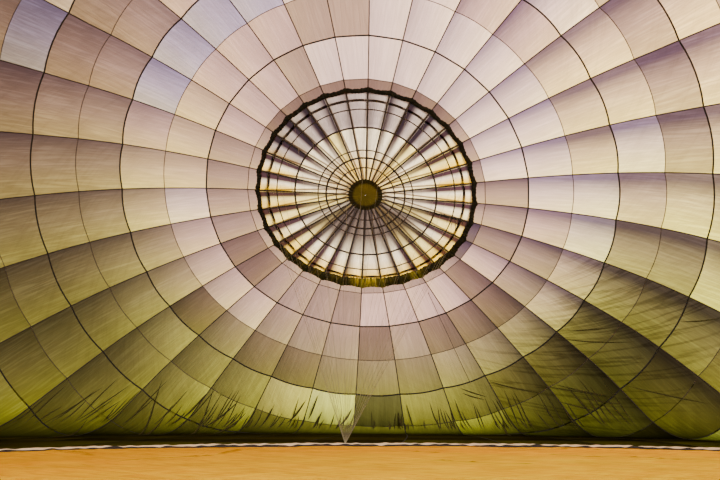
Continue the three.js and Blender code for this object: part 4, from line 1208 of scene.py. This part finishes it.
def edging(name, width, near, top, ruffle, stuff, seed):
    """A ruffled strip that stands along the cloth's far edge."""
    long = CLOTH_RIGHT + CLOTH_LEFT - 2 * STRIP_SHORT
    ex = -CLOTH_LEFT + STRIP_SHORT + long * np.linspace(0, 1, STRIP_COLS)
    wave = uneven_waves(ex, STRIP_WAVES, 0.4, seed)
    rows = []
    for part in np.linspace(0, 1, STRIP_ROWS):
        z_row = STRIP_BASE + (top - STRIP_BASE) * part * (1 + ruffle * wave)
        y_row = arc_y(ex) + near + width * part + STRIP_WAVY * wave
        rows.append(np.stack([ex, y_row, np.maximum(z_row, STRIP_BASE)], -1))
    rows = np.stack(rows)
    uv = np.stack([np.broadcast_to(ex + CLOTH_UV_X, rows.shape[:2]), rows[..., 2] * 10], -1)
    return in_scene(name, grid_mesh(name, rows, uv), stuff)


hem_stuff = webbing("cloth_hem_tape", (0.82, 0.68, 0.44), 0.006, (0.8, 0.7, 0.5))
# a painted shadow: a dark strip along the cloth's far edge, in the shade of its curled hem
edge_shadow_stuff = webbing("cloth_edge_shadow", (0.010, 0.009, 0.006), 0.005)
cloth_hem = edging("ground_cloth_hem", 0.07, 0.02, 0.108, 0.15, hem_stuff, 4)
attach(cloth_hem, "envelope")
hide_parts("floor_cloth_hem")
cloth_edge_shadow_strip = edging("ground_cloth_edge_shadow", 0.02, -0.06, 0.080, 0.45, edge_shadow_stuff, 9)
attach(cloth_edge_shadow_strip, "envelope")


# Mouth hem
# The last metre before the mouth is a dark cloth that stands great heat. Each load tape ends past
# it in a doubled webbing loop with a steel ring for a flying wire.
TAB_WIDE, TAB_OUT, TAB_THICK = 0.080, 0.160, 0.006
TAB_LYING, TAB_POINTS, TAB_NEAR = 0.15, 5, 0.05
END_RING_R, END_RING_TUBE, END_RING_BACK, END_RING_LOW = 0.030, 0.005, 0.012, 0.006
HEM_ROWS, HEM_COLS, HEM_UV = 7, 10, 0.1
hem_cloth, tree = material("heat_resistant_hem")
uv = cloth_uv(tree)
fine = creased(tree, uv, 5.0, 1.5, 5.0)
# painted shade along the creases
colour = tinted(tree, math_of(tree, "MULTIPLY", fine["Line"], 0.5), (0.050, 0.048, 0.040), (0.5, 0.5, 0.5))
surface(tree, colour, [mottled(tree, uv, 0.4, 0.3), woven(tree, uv, 0.006)["Shade"]], roughness=0.85,
        relief=fine["Height"], strength=0.6)

hem_parts = []
hem_m = np.linspace(HEM_M, GORE_END, HEM_ROWS)
for gore in range(GORES):
    m, u = np.meshgrid(hem_m, np.linspace(0, 1, HEM_COLS), indexing="ij")
    points = gore_surface(gore, m, u)
    points = points - gore_normals(points) * SHELL / 2
    points[..., 2] = np.maximum(points[..., 2], SKIN_CLEAR)
    hem_parts.append(points if gore == GORES - 1 else points[:, :-1])
points = np.concatenate(hem_parts, axis=1)
uv = np.stack(np.meshgrid(hem_m, np.arange(points.shape[1]) * HEM_UV, indexing="ij")[::-1], -1)
hem = in_scene("mouth_hem_cloth", grid_mesh("mouth_hem_cloth", points, uv), hem_cloth)
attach(hem, "envelope")
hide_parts("mouth_hem")

tab_paths, tab_lays, ring_paths = [], [], []
for k in range(GORES):
    phi = FIRST_TAPE + k * STEP
    end = skin(GORE_END, phi)
    along = end - skin(GORE_END - TAB_NEAR, phi)
    n = np.cross(skin(GORE_END, phi + NEAR_TURN) - skin(GORE_END, phi - NEAR_TURN), along)
    if end[2] < TAB_LYING:
        along[2] = 0
        n = np.array([0, 0, -1.0])
    along, n = unit(along), unit(n)
    end = end - n * (SHELL + TAB_THICK)
    tab_paths.append(np.array([end + along * d for d in np.linspace(-TAB_OUT, TAB_OUT, TAB_POINTS)]))
    tab_lays.append(n)
    ring = small_ring(end + along * (TAB_OUT - END_RING_BACK), END_RING_R, along, np.cross(along, n))
    ring[:, 2] = np.maximum(ring[:, 2], END_RING_LOW)
    ring_paths.append(ring)
tape_ends = lay_tapes("load_tape_ends", tab_paths, tab_lays, TAB_WIDE, TAB_THICK, load_webbing)
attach(tape_ends, "envelope")
end_steel = brushed_metal("tape_end_steel", (0.5, 0.5, 0.5), 0.3, 300.0)
end_rings = run_lines("tape_end_rings", ring_paths, END_RING_TUBE, 8, end_steel, closed=True)
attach(end_rings, "envelope")
